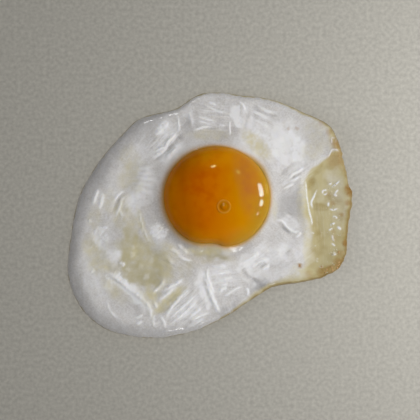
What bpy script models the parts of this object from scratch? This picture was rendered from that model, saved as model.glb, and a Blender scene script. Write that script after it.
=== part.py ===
"""A fried egg, sunny side up: one soft yolk bedded in a thin, folded spread of set white.

Metres, +Z up. The origin is the middle of the egg's plan, on the surface that the egg lies on.
+X runs the long way across the egg, towards its thin browned edge.
Forms are placed in millimetres from the middle of the yolk. A bearing is in degrees,
anticlockwise from +X, and a reach is a distance from the middle of the yolk.
"""

import math

import bmesh
import bpy
import numpy as np

MM = 0.001

# The yolk, a flattened drop.
YOLK_TOP = 15.6 * MM
YOLK_WIDEST_AT = 5.4 * MM
YOLK_BOTTOM = 1.5 * MM
YOLK_FULLNESS = 2.25  # 2 is an ellipse, and more is squarer in the shoulder
YOLK_EVENING = 5  # how fast the yolk's uneven outline turns round towards its top
YOLK_OUTLINE = [  # bearing, reach; the white folds over the yolk's edge near 265 degrees
    (0, 20.6), (25, 20.0), (55, 19.4), (90, 19.3), (130, 19.7), (165, 20.4), (200, 20.6), (235, 20.2),
    (250, 19.4), (262, 18.4), (270, 18.5), (278, 19.6), (290, 20.2), (320, 20.5),
]
BUBBLE_AT = (2.5, -4.1)
BUBBLE_RADIUS = 2.6
BUBBLE_RISE = 0.5
YOLK_SECTORS = 72
YOLK_RINGS_ABOVE = 11
YOLK_RINGS_BELOW = 5

# The bed that holds the yolk, a cup in the white.
BED_GAP = 0.3 * MM
BED_LIP = 5.7 * MM
BED_RINGS = 4

# The white's plan, and how its thickness changes round the egg.
WHITE_OUTLINE = [  # bearing, reach
    (0, 53.0), (8, 51.8), (22, 52.2), (32, 52.0), (45, 47.0), (60, 43.6), (75, 40.8), (90, 40.6), (98, 40.7),
    (105, 39.4), (112, 38.1), (120, 38.4), (128, 40.8), (137, 43.2), (150, 44.8), (165, 48.4), (180, 53.7),
    (195, 59.1), (208, 66.0), (217, 68.6), (227, 68.6), (240, 63.6), (255, 56.3), (270, 49.1), (285, 43.6),
    (300, 41.7), (308, 43.8), (316, 48.4), (328, 55.2), (334, 55.8), (345, 53.3),
]
SPREAD_THICKNESS = [  # bearing, thickness of the outer white
    (0, 3.7), (45, 3.6), (90, 3.2), (120, 3.7), (150, 4.4), (180, 5.0), (215, 5.4), (245, 4.9), (270, 3.7),
    (300, 2.8), (330, 3.4),
]
EDGE_ROUNDING = [  # bearing, how far in from the outline the top takes to reach its thickness
    (0, 1.6), (45, 3.0), (90, 3.0), (120, 5.0), (150, 7.5), (180, 9.0), (220, 9.0), (250, 6.5), (275, 3.0),
    (300, 2.2), (330, 2.0),
]
EDGE_WIDEST_AT = [  # bearing, height of the outermost line above the underside
    (0, 0.5), (60, 0.8), (120, 1.1), (180, 1.5), (230, 1.5), (280, 0.8), (320, 0.5),
]
EDGE_LIFT = [  # bearing, how far the browned edge curls off the surface
    (0, 0.9), (12, 0.4), (25, 0.7), (45, 0.0), (180, 0.0), (285, 0.0), (318, 0.3), (332, 1.0), (347, 0.3),
]
UNDERCUT = 0.6 * MM
FOOT_INSET = 9.0 * MM
COLLAR_FALL = 6.0 * MM  # the mound round the yolk drops by two thirds in this distance
LEAST_THICKNESS = 0.9 * MM
WHITE_SECTORS = 160
WHITE_RINGS = 22

# The thin browned strip, east of a line that runs through these points: y, x.
STRIP_LINE = [
    (-60, 90), (-37, 48), (-32, 37.5), (-24, 35.6), (-14, 37.4), (-6, 35.8), (4, 34.7), (10, 36.6), (15, 43.5),
    (17.5, 48), (24, 60), (60, 90),
]
STRIP_THICKNESS = 1.7 * MM
STRIP_STEP = 2.6 * MM

HOLLOWS = [  # x, y, long half, short half, bearing, depth
    (-27, -24, 13.0, 8.0, -63, 1.8),
    (-34, 8, 6.5, 4.0, 60, 0.7),
    (28.5, -2.5, 6.0, 5.0, 60, 0.9),
    (17, -34.5, 4.5, 2.5, 25, 0.8),
    (-4, -22.5, 8.0, 2.5, 0, 1.0),
    (-48, -17, 4.5, 7.5, 0, 0.6),
    (-36, -43, 7.0, 4.0, -20, 0.7),
]

WELTS = [  # points along it, half width, height; a crease has a height below 0
    ([(-43, -29), (-38.5, -32), (-33, -36.3), (-28.5, -40.5), (-26, -44.5), (-25, -49)], 1.7, 1.5),
    ([(-30.5, -5), (-29, -11), (-26.5, -16), (-23.5, -19)], 1.3, 0.9),
    ([(-5.2, -29), (-4.3, -35), (-1.6, -41), (1.3, -47.5)], 1.3, 1.2),
    ([(-22.5, -44.5), (-17, -40.5), (-9, -34.5)], 1.6, -1.2),
    ([(7.8, -26.3), (10.3, -30), (14, -32.6), (19, -34)], 1.3, -0.9),
    ([(9.5, -33.5), (11.6, -36.4), (12.6, -40)], 1.2, 0.7),
    ([(21.5, -9.3), (25.2, -10.3), (28.5, -13.3), (33, -12.8)], 1.3, 0.9),
    ([(22.5, -11.8), (26.5, -14.3), (29.5, -16.2)], 1.2, -0.7),
    ([(25, 5.2), (30.5, 9), (35.5, 11.4)], 1.3, 0.8),
    ([(25, 1.8), (30, 5)], 1.2, 0.6),
    ([(-13.2, 36), (-12.6, 29), (-15, 22.5), (-20.5, 17.5), (-26, 12.5)], 1.8, -1.4),
    ([(-25.5, 16), (-20.5, 18.8), (-16.4, 23.3), (-14.6, 28)], 1.4, 1.0),
    ([(-21.3, 13.8), (-17.6, 16.6), (-13.8, 20.4)], 1.2, 1.0),
    ([(-24.5, 23.2), (-19.8, 28.4)], 1.3, 0.8),
    ([(7.8, 38.5), (9.8, 34.6), (10.6, 30)], 1.3, 0.8),
    ([(12.2, 35), (12.2, 30), (10.3, 25.5)], 1.3, -0.8),
    ([(-46.6, 2.6), (-47.9, -2.2), (-47, -6)], 1.2, 0.8),
    ([(-35.2, 1.4), (-37.4, -3.4), (-39.7, -9)], 1.3, 0.9),
    ([(-19.6, -19.4), (-16, -21.5), (-12.6, -24.2), (-8, -25.2)], 1.2, 0.9),
    ([(34.9, 8), (34.6, 2), (35.5, -4), (37.2, -11)], 1.2, 0.7),
    ([(-22.6, -45.6), (-20.4, -49), (-19.9, -52.5)], 1.2, 0.7),
]

RIPPLES = [  # first ridge's two ends, last ridge's two ends, number of ridges, half width, height
    ((-20.7, -47.7), (-10, -35.5), (-12.8, -51.5), (-3.8, -47), 4, 1.3, 0.7),
    ((-23.6, -41.6), (-11, -34), (-26.5, -38.5), (-19.5, -30.5), 2, 1.4, 0.8),
    ((-3, -27.6), (6.5, -27.6), (2.3, -39.6), (9.8, -35), 3, 1.4, 0.7),
    ((9.3, -26.2), (19, -20.8), (18.5, -31), (26.5, -28.5), 3, 1.4, 0.8),
    ((-9.5, 26), (-1, 27.2), (-5, 37), (3.2, 35.4), 3, 1.4, 0.6),
    ((-32, 12.4), (-23.5, 12), (-33, 4.5), (-24.5, 3), 3, 1.3, 0.5),
    ((12.5, 35.8), (25.5, 33.2), (13.5, 30), (23, 26), 3, 1.3, 0.5),
]


def smooth_step(share):
    """0 below 0, 1 above 1, and an even rise between."""
    share = np.clip(share, 0, 1)
    return share * share * (3 - 2 * share)


def smooth_curve(at, value, asked):
    """The values asked for, on a smooth curve through the values given."""
    slope = np.gradient(value, at)
    slope[1:-1] = (value[2:] - value[:-2]) / (at[2:] - at[:-2])
    i = np.clip(np.searchsorted(at, asked, side="right") - 1, 0, len(at) - 2)
    span = at[i + 1] - at[i]
    t = (asked - at[i]) / span
    start = (1 + 2 * t) * (1 - t) ** 2 * value[i] + t * (1 - t) ** 2 * span * slope[i]
    return start + t * t * (3 - 2 * t) * value[i + 1] - t * t * (1 - t) * span * slope[i + 1]


def round_the_egg(knots, bearings):
    """A size in metres at each bearing, on a smooth closed curve through (bearing, millimetres) knots."""
    at, value = np.array(knots, float).T
    at = np.concatenate([at[-2:] - 360, at, at[:2] + 360])
    value = np.concatenate([value[-2:], value, value[:2]])
    return smooth_curve(at, value, np.degrees(bearings) % 360) * MM


def edge_lift(bearings):
    """Height of the edge's lower corner off the surface that the egg lies on."""
    return np.maximum(round_the_egg(EDGE_LIFT, bearings), 0)


def welt(x, y, path, half_width, height):
    """Height of a rounded ridge along a path, fading out at both ends; a negative height is a crease."""
    points = np.array(path, float)
    knots = np.arange(len(points))
    steps = np.linspace(0, len(points) - 1, 6 * (len(points) - 1) + 1)
    points = np.stack([smooth_curve(knots, points[:, k], steps) for k in (0, 1)], axis=1) * MM
    nearest = np.full(x.shape, np.inf)
    along = np.zeros(x.shape)
    length = 0.0
    for start, end in zip(points[:-1], points[1:]):
        step = end - start
        reach = np.hypot(*step)
        t = np.clip(((x - start[0]) * step[0] + (y - start[1]) * step[1]) / reach**2, 0, 1)
        gap = np.hypot(x - start[0] - t * step[0], y - start[1] - t * step[1])
        along = np.where(gap < nearest, length + t * reach, along)
        nearest = np.minimum(gap, nearest)
        length += reach
    fade = smooth_step(along / (0.3 * length)) * smooth_step((length - along) / (0.3 * length))
    return height * MM * fade * np.exp(-((nearest / (half_width * MM)) ** 2))


def hollow(x, y, at_x, at_y, long_half, short_half, bearing, depth):
    """Height of a soft oval dip, below 0."""
    turn = math.radians(bearing)
    across_x = x / MM - at_x
    across_y = y / MM - at_y
    u = (across_x * math.cos(turn) + across_y * math.sin(turn)) / long_half
    v = (across_y * math.cos(turn) - across_x * math.sin(turn)) / short_half
    return -depth * MM * np.exp(-((u * u + v * v) ** 1.5))


def relief(x, y):
    """Height of every hollow, welt and ripple of the white at a place."""
    height = sum(hollow(x, y, *form) for form in HOLLOWS)
    height = height + sum(welt(x, y, *form) for form in WELTS)
    for first_a, first_b, last_a, last_b, count, half_width, rise in RIPPLES:
        for share in np.linspace(0, 1, count):
            ends = [
                (a[0] + share * (b[0] - a[0]), a[1] + share * (b[1] - a[1]))
                for a, b in ((first_a, last_a), (first_b, last_b))
            ]
            height = height + welt(x, y, ends, half_width, rise)
    return height


def white_top(reach, bearings):
    """Height of the white's upper surface at a reach and bearing."""
    outline = round_the_egg(WHITE_OUTLINE, bearings)
    yolk_edge = round_the_egg(YOLK_OUTLINE, bearings) + BED_GAP
    x = reach * np.cos(bearings)
    y = reach * np.sin(bearings)
    spread = round_the_egg(SPREAD_THICKNESS, bearings)
    widest_at = round_the_egg(EDGE_WIDEST_AT, bearings)
    strip_y, strip_x = np.array(STRIP_LINE, float).T
    east = x - smooth_curve(strip_y, strip_x, y / MM) * MM
    strip = smooth_step(east / STRIP_STEP + 0.5)
    spread = spread + strip * (STRIP_THICKNESS - spread)
    from_yolk = np.maximum(reach - yolk_edge, 0)
    collar = (BED_LIP - spread) * np.exp(-((from_yolk / COLLAR_FALL) ** 1.4))
    clear_of_yolk = smooth_step(from_yolk / (2.5 * MM))
    clear_of_edge = smooth_step((outline - reach) / (3.5 * MM))
    thickness = spread + collar + relief(x, y) * clear_of_yolk * clear_of_edge
    thickness = np.maximum(thickness, LEAST_THICKNESS)
    inward = np.clip((outline - reach) / round_the_egg(EDGE_ROUNDING, bearings), 0, 1)
    rounded = np.sqrt(1 - (1 - inward) ** 2)
    lift = edge_lift(bearings) * smooth_step(1 - (outline - reach) / FOOT_INSET)
    return lift + widest_at + (thickness - widest_at) * rounded


def yolk_ring(turn, bearings, gap=0.0):
    """One level ring of the yolk's surface, or of its bed: turn is 0 at the top and pi at the bottom."""
    power = 2 / YOLK_FULLNESS
    half_height = YOLK_TOP - YOLK_WIDEST_AT if turn <= math.pi / 2 else YOLK_WIDEST_AT - YOLK_BOTTOM
    out = abs(math.sin(turn)) ** power
    up = math.copysign(abs(math.cos(turn)) ** power, math.cos(turn))
    waist = round_the_egg(YOLK_OUTLINE, bearings)
    evened = waist.mean() + (waist - waist.mean()) * out**YOLK_EVENING
    reach = evened * out + gap * math.sin(turn)
    x = reach * np.cos(bearings)
    y = reach * np.sin(bearings)
    off_bubble = np.hypot(x / MM - BUBBLE_AT[0], y / MM - BUBBLE_AT[1]) / BUBBLE_RADIUS
    bubble = BUBBLE_RISE * MM * smooth_step(1.2 - off_bubble) if turn < math.pi / 2 and not gap else 0.0
    z = YOLK_WIDEST_AT + half_height * up + gap * math.cos(turn) + bubble
    return np.stack([x, y, z + 0 * x], axis=1)


def ring_solid(name, start, rings, end, offset, material):
    """A closed solid whose skin runs from a start point over a list of rings to an end point."""
    mesh = bmesh.new()
    shift = np.array([*offset, 0.0])
    first = mesh.verts.new(start + shift)
    loops = [[mesh.verts.new(point + shift) for point in ring] for ring in rings]
    last = mesh.verts.new(end + shift)
    count = len(loops[0])
    for k in range(count):
        after = (k + 1) % count
        mesh.faces.new((first, loops[0][k], loops[0][after]))
        mesh.faces.new((last, loops[-1][after], loops[-1][k]))
        for inner, outer in zip(loops[:-1], loops[1:]):
            mesh.faces.new((inner[k], outer[k], outer[after], inner[after]))
    bmesh.ops.recalc_face_normals(mesh, faces=mesh.faces)
    data = bpy.data.meshes.new(name)
    mesh.to_mesh(data)
    mesh.free()
    data.shade_smooth()
    data.materials.append(material)
    made = bpy.data.objects.new(name, data)
    bpy.context.scene.collection.objects.link(made)
    return made


def food_material(name, colour, roughness):
    """A plain Principled finish: a linear colour and a roughness, with no metal in it."""
    material = bpy.data.materials.new(name)
    material.use_nodes = True
    shader = material.node_tree.nodes["Principled BSDF"]
    shader.inputs["Base Color"].default_value = (*colour, 1)
    shader.inputs["Roughness"].default_value = roughness
    shader.inputs["Metallic"].default_value = 0
    return material


def bearings_of(sectors):
    return np.arange(sectors) * 2 * math.pi / sectors


def plan_middle():
    """Middle of the box round the white's outline, seen from above, from the middle of the yolk."""
    bearings = bearings_of(WHITE_SECTORS)
    reach = round_the_egg(WHITE_OUTLINE, bearings)
    x = reach * np.cos(bearings)
    y = reach * np.sin(bearings)
    return np.array([(x.min() + x.max()) / 2, (y.min() + y.max()) / 2])


def build_yolk(offset):
    """The yolk, from the middle of its top to the middle of its underside."""
    bearings = bearings_of(YOLK_SECTORS)
    above = np.linspace(0, math.pi / 2, YOLK_RINGS_ABOVE + 1)[1:]
    below = np.linspace(math.pi / 2, math.pi, YOLK_RINGS_BELOW + 1)[1:-1]
    rings = [yolk_ring(turn, bearings) for turn in (*above, *below)]
    top = yolk_ring(0.0, bearings)[0]
    bottom = np.array([0.0, 0.0, YOLK_BOTTOM])
    return ring_solid("yolk", top, rings, bottom, offset, food_material("soft_yolk", (0.60, 0.19, 0.004), 0.2))


def build_white(offset):
    """The white, from the floor of the yolk's bed, over the top to the edge, and back under the foot."""
    bearings = bearings_of(WHITE_SECTORS)
    yolk_edge = round_the_egg(YOLK_OUTLINE, bearings) + BED_GAP
    outline = round_the_egg(WHITE_OUTLINE, bearings)
    lift = edge_lift(bearings)
    widest_at = round_the_egg(EDGE_WIDEST_AT, bearings)

    def ring(reach, z):
        return np.stack([reach * np.cos(bearings), reach * np.sin(bearings), z + 0 * reach], axis=1)

    bed_turns = np.linspace(math.pi, math.pi / 2, BED_RINGS + 2)[1:]
    bed = [yolk_ring(turn, bearings, BED_GAP) for turn in bed_turns]
    shares = np.linspace(0, 1, WHITE_RINGS)[:-1]
    # Rings stand closer together near the edge, where the top turns down.
    shares = 1 - (1 - shares) ** 1.15
    tops = [yolk_edge + share * (outline - yolk_edge) for share in shares]
    top = [ring(reach, white_top(reach, bearings)) for reach in tops]
    edge = ring(outline, lift + widest_at)
    under = ring(outline - UNDERCUT, lift)
    foot = ring(outline - FOOT_INSET, np.zeros_like(outline))
    start = np.array([0.0, 0.0, YOLK_BOTTOM - BED_GAP])
    end = np.zeros(3)
    rings = [*bed, *top, edge, under, foot]
    return ring_solid("egg_white", start, rings, end, offset, food_material("set_white", (0.72, 0.71, 0.69), 0.3))


for leftover in list(bpy.data.objects):
    bpy.data.objects.remove(leftover)

yolk_place = -plan_middle()
build_white(yolk_place)
build_yolk(yolk_place)
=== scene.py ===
# %% [markdown]
# # A fried egg, sunny side up
#
# This lesson dresses a fried egg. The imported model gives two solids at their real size, the set
# white and the yolk, and this script gives them the fine surface and the finish of the real food.
# Both are modelled again here at a much finer grain, because a fried egg is all surface: wrinkles
# of half a millimetre, a soft skin, and gloss that shows every one of them.

# %% Load the frame
import math

import bpy
import numpy as np
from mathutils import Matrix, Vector, noise


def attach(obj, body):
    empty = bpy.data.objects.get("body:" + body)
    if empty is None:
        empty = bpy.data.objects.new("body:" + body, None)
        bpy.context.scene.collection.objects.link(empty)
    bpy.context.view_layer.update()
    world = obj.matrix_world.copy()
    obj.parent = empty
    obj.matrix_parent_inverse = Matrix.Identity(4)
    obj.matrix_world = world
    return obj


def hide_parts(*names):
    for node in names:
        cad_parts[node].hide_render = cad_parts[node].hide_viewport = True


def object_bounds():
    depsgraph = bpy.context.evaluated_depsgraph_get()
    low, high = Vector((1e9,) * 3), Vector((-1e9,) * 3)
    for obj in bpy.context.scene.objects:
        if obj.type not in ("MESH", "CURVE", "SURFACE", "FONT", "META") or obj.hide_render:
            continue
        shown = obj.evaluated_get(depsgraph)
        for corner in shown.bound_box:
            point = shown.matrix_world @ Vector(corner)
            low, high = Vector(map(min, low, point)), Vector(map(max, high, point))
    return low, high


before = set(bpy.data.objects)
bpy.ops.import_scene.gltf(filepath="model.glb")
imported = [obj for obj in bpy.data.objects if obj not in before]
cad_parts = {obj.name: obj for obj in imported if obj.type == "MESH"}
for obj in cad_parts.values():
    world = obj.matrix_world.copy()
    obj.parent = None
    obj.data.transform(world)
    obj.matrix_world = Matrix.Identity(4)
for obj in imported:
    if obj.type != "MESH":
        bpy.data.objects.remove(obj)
cad_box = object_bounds()
print("nodes:", sorted(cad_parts), "box:", cad_box)

# %% [markdown]
# ## Measures
#
# A fried egg has no straight side to measure from, so every form is placed from the middle of the
# yolk: by a bearing in degrees, anticlockwise from +X, and a reach, or by x and y in millimetres.
# An uneven outline needs only a few such points. A smooth closed curve through them gives the
# rest, which is how a ship's hull was once drawn with a bent spline.

# %% Units and smooth curves
MM = 0.001


def smooth_step(share):
    """0 below 0, 1 above 1, and an even rise between."""
    share = np.clip(share, 0, 1)
    return share * share * (3 - 2 * share)


def smooth_curve(at, value, asked):
    """The values asked for, on a smooth curve through the values given."""
    slope = np.gradient(value, at)
    slope[1:-1] = (value[2:] - value[:-2]) / (at[2:] - at[:-2])
    i = np.clip(np.searchsorted(at, asked, side="right") - 1, 0, len(at) - 2)
    span = at[i + 1] - at[i]
    t = (asked - at[i]) / span
    start = (1 + 2 * t) * (1 - t) ** 2 * value[i] + t * (1 - t) ** 2 * span * slope[i]
    return start + t * t * (3 - 2 * t) * value[i + 1] - t * t * (1 - t) * span * slope[i + 1]


def round_the_egg(knots, bearings):
    """A size in metres at each bearing, on a closed curve through (bearing, millimetres) knots."""
    at, value = np.array(knots, float).T
    at = np.concatenate([at[-2:] - 360, at, at[:2] + 360])
    value = np.concatenate([value[-2:], value, value[:2]])
    return smooth_curve(at, value, np.degrees(bearings) % 360) * MM


def bearings_of(sectors):
    return np.arange(sectors) * 2 * math.pi / sectors


# %% [markdown]
# ## The two outlines
#
# The white stops where it set in the pan, and the yolk is a drop that sagged as it warmed. Near
# 265 degrees the white folds a little over the yolk's edge. These are the driving shapes of the
# whole egg, the same as those of the solids.

# %% Outlines of the white and the yolk
WHITE_OUTLINE = [  # bearing, reach
    (0, 53), (8, 51.8), (22, 52.2), (32, 52), (45, 47), (60, 43.6), (75, 40.8), (90, 40.6), (98, 40.7),
    (105, 39.4), (112, 38.1), (120, 38.4), (128, 40.8), (137, 43.2), (150, 44.8), (165, 48.4), (180, 53.7),
    (195, 59.1), (208, 66), (217, 68.6), (227, 68.6), (240, 63.6), (255, 56.3), (270, 49.1), (285, 43.6),
    (300, 41.7), (308, 43.8), (316, 48.4), (328, 55.2), (334, 55.8), (345, 53.3),
]
YOLK_OUTLINE = [  # bearing, reach
    (0, 20.6), (25, 20), (55, 19.4), (90, 19.3), (130, 19.7), (165, 20.4), (200, 20.6), (235, 20.2),
    (250, 19.4), (262, 18.4), (270, 18.5), (278, 19.6), (290, 20.2), (320, 20.5),
]


def plan_middle():
    """Middle of the box round the white's outline, seen from above, from the middle of the yolk."""
    bearings = bearings_of(720)
    reach = round_the_egg(WHITE_OUTLINE, bearings)
    x = reach * np.cos(bearings)
    y = reach * np.sin(bearings)
    return np.array([(x.min() + x.max()) / 2, (y.min() + y.max()) / 2])


yolk_middle = -plan_middle()
print("middle of the yolk in the frame, mm:", np.round(yolk_middle / MM, 2))

# %% [markdown]
# ## The camera
#
# The photograph looks straight down. An 85 mm lens stands back far enough that the domed yolk
# isn't stretched over the white round it. The camera's distance follows from the width of the
# view at the white's level: one step of the photograph's grid is 0.39 mm there.

# %% Camera
LENS = 85
SENSOR = 36
VIEW_WIDTH = 420 * 0.39 * MM
VIEW_MIDDLE = (-2.7, -5.4)
WHITE_LEVEL = 3 * MM


def place_camera():
    camera_data = bpy.data.cameras.new("camera")
    camera_data.lens = LENS
    camera_data.sensor_width = SENSOR
    camera_data.clip_start = 0.01
    camera = bpy.data.objects.new("camera", camera_data)
    height = VIEW_WIDTH * LENS / SENSOR + WHITE_LEVEL
    camera.location = (yolk_middle[0] + VIEW_MIDDLE[0] * MM, yolk_middle[1] + VIEW_MIDDLE[1] * MM, height)
    bpy.context.scene.collection.objects.link(camera)
    bpy.context.scene.camera = camera
    print("camera height, mm:", round(height / MM, 1))


place_camera()

# %% [markdown]
# ## Colours and nodes
#
# Colours are picked as sRGB hex values, as on a paint chart, but light is added up in linear
# values, so one function turns the first into the second. A second function adds a node with its
# settings and links. Where many nodes of one kind follow each other, a table lists them and a loop
# adds them, which keeps a long material readable as a list of steps.

# %% Colour and node helpers
def colour(code):
    """A linear RGBA colour from an sRGB hex code."""
    parts = [int(code[i:i + 2], 16) / 255 for i in (1, 3, 5)]
    return (*(p / 12.92 if p <= 0.04045 else ((p + 0.055) / 1.055) ** 2.4 for p in parts), 1.0)


def add(tree, kind, settings=None, inputs=None):
    """Adds a node, sets its properties, and gives its inputs a value or a link."""
    node = tree.nodes.new(kind)
    for key, value in (settings or {}).items():
        setattr(node, key, value)
    for key, value in (inputs or {}).items():
        if isinstance(value, bpy.types.NodeSocket):
            tree.links.new(value, node.inputs[key])
        else:
            node.inputs[key].default_value = value
    return node


def new_material(name, finish):
    """A node material whose Principled shader has the finish's own numbers."""
    material = bpy.data.materials.new(name)
    material.use_nodes = True
    tree = material.node_tree
    tree.nodes.clear()
    shader = add(tree, "ShaderNodeBsdfPrincipled", inputs=finish)
    add(tree, "ShaderNodeOutputMaterial", inputs={"Surface": shader.outputs["BSDF"]})
    return material, tree, shader


def new_tree(name, inputs):
    """A Geometry Nodes tree with named inputs, and the outputs of its input node."""
    tree = bpy.data.node_groups.new(name, "GeometryNodeTree")
    tree.interface.new_socket("Geometry", in_out="OUTPUT", socket_type="NodeSocketGeometry")
    for label, kind in {"Geometry": "Geometry", **inputs}.items():
        tree.interface.new_socket(label, in_out="INPUT", socket_type="NodeSocket" + kind)
    return tree, add(tree, "NodeGroupInput").outputs


# %% [markdown]
# ## The yolk's form
#
# A yolk is a bag of liquid in a thin skin, so its shape follows one rule: a superellipse, a little
# squarer in the shoulder than an ellipse, flatter below its waist than above. A shape with a rule
# suits Geometry Nodes. The tree starts from a sphere of radius 1 and moves each point: the plan
# comes from the waist's outline, which evens out to a circle towards the top, and the height from
# the rule.

# %% Geometry Nodes tree of the yolk
YOLK_TOP = 15.6 * MM
YOLK_WIDEST_AT = 5.4 * MM
YOLK_BOTTOM = 1.5 * MM
YOLK_FULLNESS = 2.25
YOLK_MEAN_REACH = float(round_the_egg(YOLK_OUTLINE, bearings_of(72)).mean())
BUBBLE_AT = (2.5, -4.1)
BUBBLE_RING = 2.35
CURVE_TOP = 30 * MM
CURVE_POINTS = 49
YOLK_STEPS = [  # result, operation, what it works on
    ("power", "DIVIDE", 2.0, "Fullness"),
    ("out", "POWER", "across", "power"),
    # The plan: the waist's outline at this bearing, evened out by how near the top the point is.
    ("turn", "ARCTAN2", "y", "x"),
    ("turn", "DIVIDE", "turn", 2 * math.pi),
    ("turn", "FRACT", "turn"),
    ("waist", "MULTIPLY", "outline", CURVE_TOP),
    ("uneven", "SUBTRACT", "waist", "Mean reach"),
    ("evening", "POWER", "out", "Evening"),
    ("reach", "MULTIPLY_ADD", "uneven", "evening", "Mean reach"),
    ("reach", "MULTIPLY", "reach", "out"),
    ("clear", "MAXIMUM", "across", 0.00001),
    ("stretch", "DIVIDE", "reach", "clear"),
    # The height: one half height above the waist and another below it.
    ("size", "ABSOLUTE", "z"),
    ("size", "POWER", "size", "power"),
    ("side", "SIGN", "z"),
    ("size", "MULTIPLY", "size", "side"),
    ("above", "GREATER_THAN", "z", 0.0),
    ("crown", "SUBTRACT", "Top", "Widest at"),
    ("belly", "SUBTRACT", "Widest at", "Bottom"),
    ("more", "SUBTRACT", "crown", "belly"),
    ("half", "MULTIPLY_ADD", "above", "more", "belly"),
    ("height", "MULTIPLY_ADD", "size", "half", "Widest at"),
]


def yolk_tree():
    sizes = ("Top", "Widest at", "Bottom", "Fullness", "Evening", "Mean reach")
    tree, given = new_tree("yolk_dome", {
        "Sectors": "Int", "Rings": "Int", "Middle": "Vector", "Skin": "Material",
        **dict.fromkeys(sizes, "Float")})
    ball = add(tree, "GeometryNodeMeshUVSphere", inputs={
        "Segments": given["Sectors"], "Rings": given["Rings"], "Radius": 1.0})
    place = add(tree, "GeometryNodeInputPosition").outputs[0]
    axes = add(tree, "ShaderNodeSeparateXYZ", inputs={0: place}).outputs
    level = add(tree, "ShaderNodeCombineXYZ", inputs={0: axes[0], 1: axes[1]}).outputs[0]
    across = add(tree, "ShaderNodeVectorMath", {"operation": "LENGTH"}, {0: level}).outputs["Value"]
    outline = add(tree, "ShaderNodeFloatCurve")
    points = outline.mapping.curves[0].points
    shares = np.linspace(0, 1, CURVE_POINTS)
    heights = round_the_egg(YOLK_OUTLINE, shares * 2 * math.pi) / CURVE_TOP
    points[0].location = (0, heights[0])
    points[1].location = (1, heights[-1])
    for share, height in zip(shares[1:-1], heights[1:-1]):
        points.new(share, height)
    outline.mapping.update()

    known = {"x": axes[0], "y": axes[1], "z": axes[2], "across": across, "outline": outline.outputs[0]}
    known.update({name: given[name] for name in sizes})
    for result, operation, *terms in YOLK_STEPS:
        terms = {k: known.get(term, term) for k, term in enumerate(terms)}
        known[result] = add(tree, "ShaderNodeMath", {"operation": operation}, terms).outputs[0]
    tree.links.new(known["turn"], outline.inputs["Value"])

    moved = add(tree, "ShaderNodeVectorMath", {"operation": "SCALE"}, {
        0: level, 3: known["stretch"]}).outputs[0]
    up = add(tree, "ShaderNodeCombineXYZ", inputs={2: known["height"]}).outputs[0]
    for shift in (up, given["Middle"]):
        moved = add(tree, "ShaderNodeVectorMath", {"operation": "ADD"}, {0: moved, 1: shift}).outputs[0]
    shaped = add(tree, "GeometryNodeSetPosition", inputs={"Geometry": ball.outputs[0], "Position": moved})
    smooth = add(tree, "GeometryNodeSetShadeSmooth", inputs={0: shaped.outputs[0]})
    real = add(tree, "GeometryNodeRealizeInstances", inputs={0: smooth.outputs[0]})
    skinned = add(tree, "GeometryNodeSetMaterial", inputs={0: real.outputs[0], "Material": given["Skin"]})
    add(tree, "NodeGroupOutput", inputs={0: skinned.outputs[0]})
    return tree


# %% [markdown]
# A tree only describes a shape. To get a mesh that anything can use, an empty object carries the
# tree as a modifier, its inputs are set by their identifiers, and the result is copied out as a
# plain mesh. The carrier is then removed.

# %% Turning a tree into a plain mesh
def mesh_from_tree(name, tree, values, start=None):
    """The plain mesh object that a Geometry Nodes tree makes from its named input values."""
    carrier = bpy.data.objects.new(name + "_carrier", start or bpy.data.meshes.new(name + "_start"))
    bpy.context.scene.collection.objects.link(carrier)
    modifier = carrier.modifiers.new("shape", "NODES")
    modifier.node_group = tree
    for socket in tree.interface.items_tree:
        if socket.name in values and socket.in_out == "INPUT":
            modifier[socket.identifier] = values[socket.name]
    evaluated = carrier.evaluated_get(bpy.context.evaluated_depsgraph_get())
    mesh = bpy.data.meshes.new_from_object(evaluated)
    carrier.modifiers.clear()
    bpy.data.objects.remove(carrier)
    made = bpy.data.objects.new(name, mesh)
    bpy.context.scene.collection.objects.link(made)
    print(name, "faces:", len(mesh.polygons))
    return made


# %% [markdown]
# ## The yolk's finish
#
# A soft yolk is coloured right through: fat droplets in a clear liquid, seen through a wet skin.
# Light enters, wanders a few millimetres and comes back deep orange. Where the drop is thin, at
# its rim, less colour is in the way and it turns golden; that gold is laid only on the rim towards
# the light, so it is also painted light. So the colour changes with place, by soft fields in
# millimetres from the middle of the yolk, and subsurface scattering softens it. Part of that
# colour is painted light and shade: the side away from the light is painted lighter and the lit
# side darker, the flanks that slope north and south are painted lighter, and pale marks are
# painted reflections and a painted highlight. The wet skin is a clear coat, almost mirror smooth.

# %% Soft yolk
# Painted light: the ramp runs from a light orange on the left, which faces away from the light, to a darker
# gold on the lit right. So it evens out the shading as well as changing the hue.
YOLK_HUE_AND_PAINTED_LIGHT = [  # share of the way to the right side, colour
    (0.0, "#FA9400"), (0.14, "#DC7800"), (0.42, "#E67E00"), (0.7, "#E09400"), (1.0, "#CF9A14"),
]
# Of these tones, the amber of the flanks is painted light. The pale marks are a ring round the bubble,
# painted reflections and one painted highlight. The shaded tone is painted shade inside the bubble, and the
# golden rim is partly painted light.
YOLK_TONES = {  # colour field, and the colour that it lays over the body, in this order
    "painted_flank_light": "#F2A008", "ember": "#D86400", "rosy": "#CC7C32", "golden": "#BA9028", "shaded": "#8E6400",
    "pale_ring_and_glints": "#E8BC58",
}
YOLK_FINISH = {
    "Roughness": 0.4,
    "Specular IOR Level": 0.0,
    "IOR": 1.4,
    "Subsurface Weight": 0.3,
    "Subsurface Radius": (1.0, 0.45, 0.08),
    "Subsurface Scale": 2 * MM,
    "Coat Weight": 0.3,
    "Coat Roughness": 0.05,
    "Coat IOR": 1.45,
}


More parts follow.
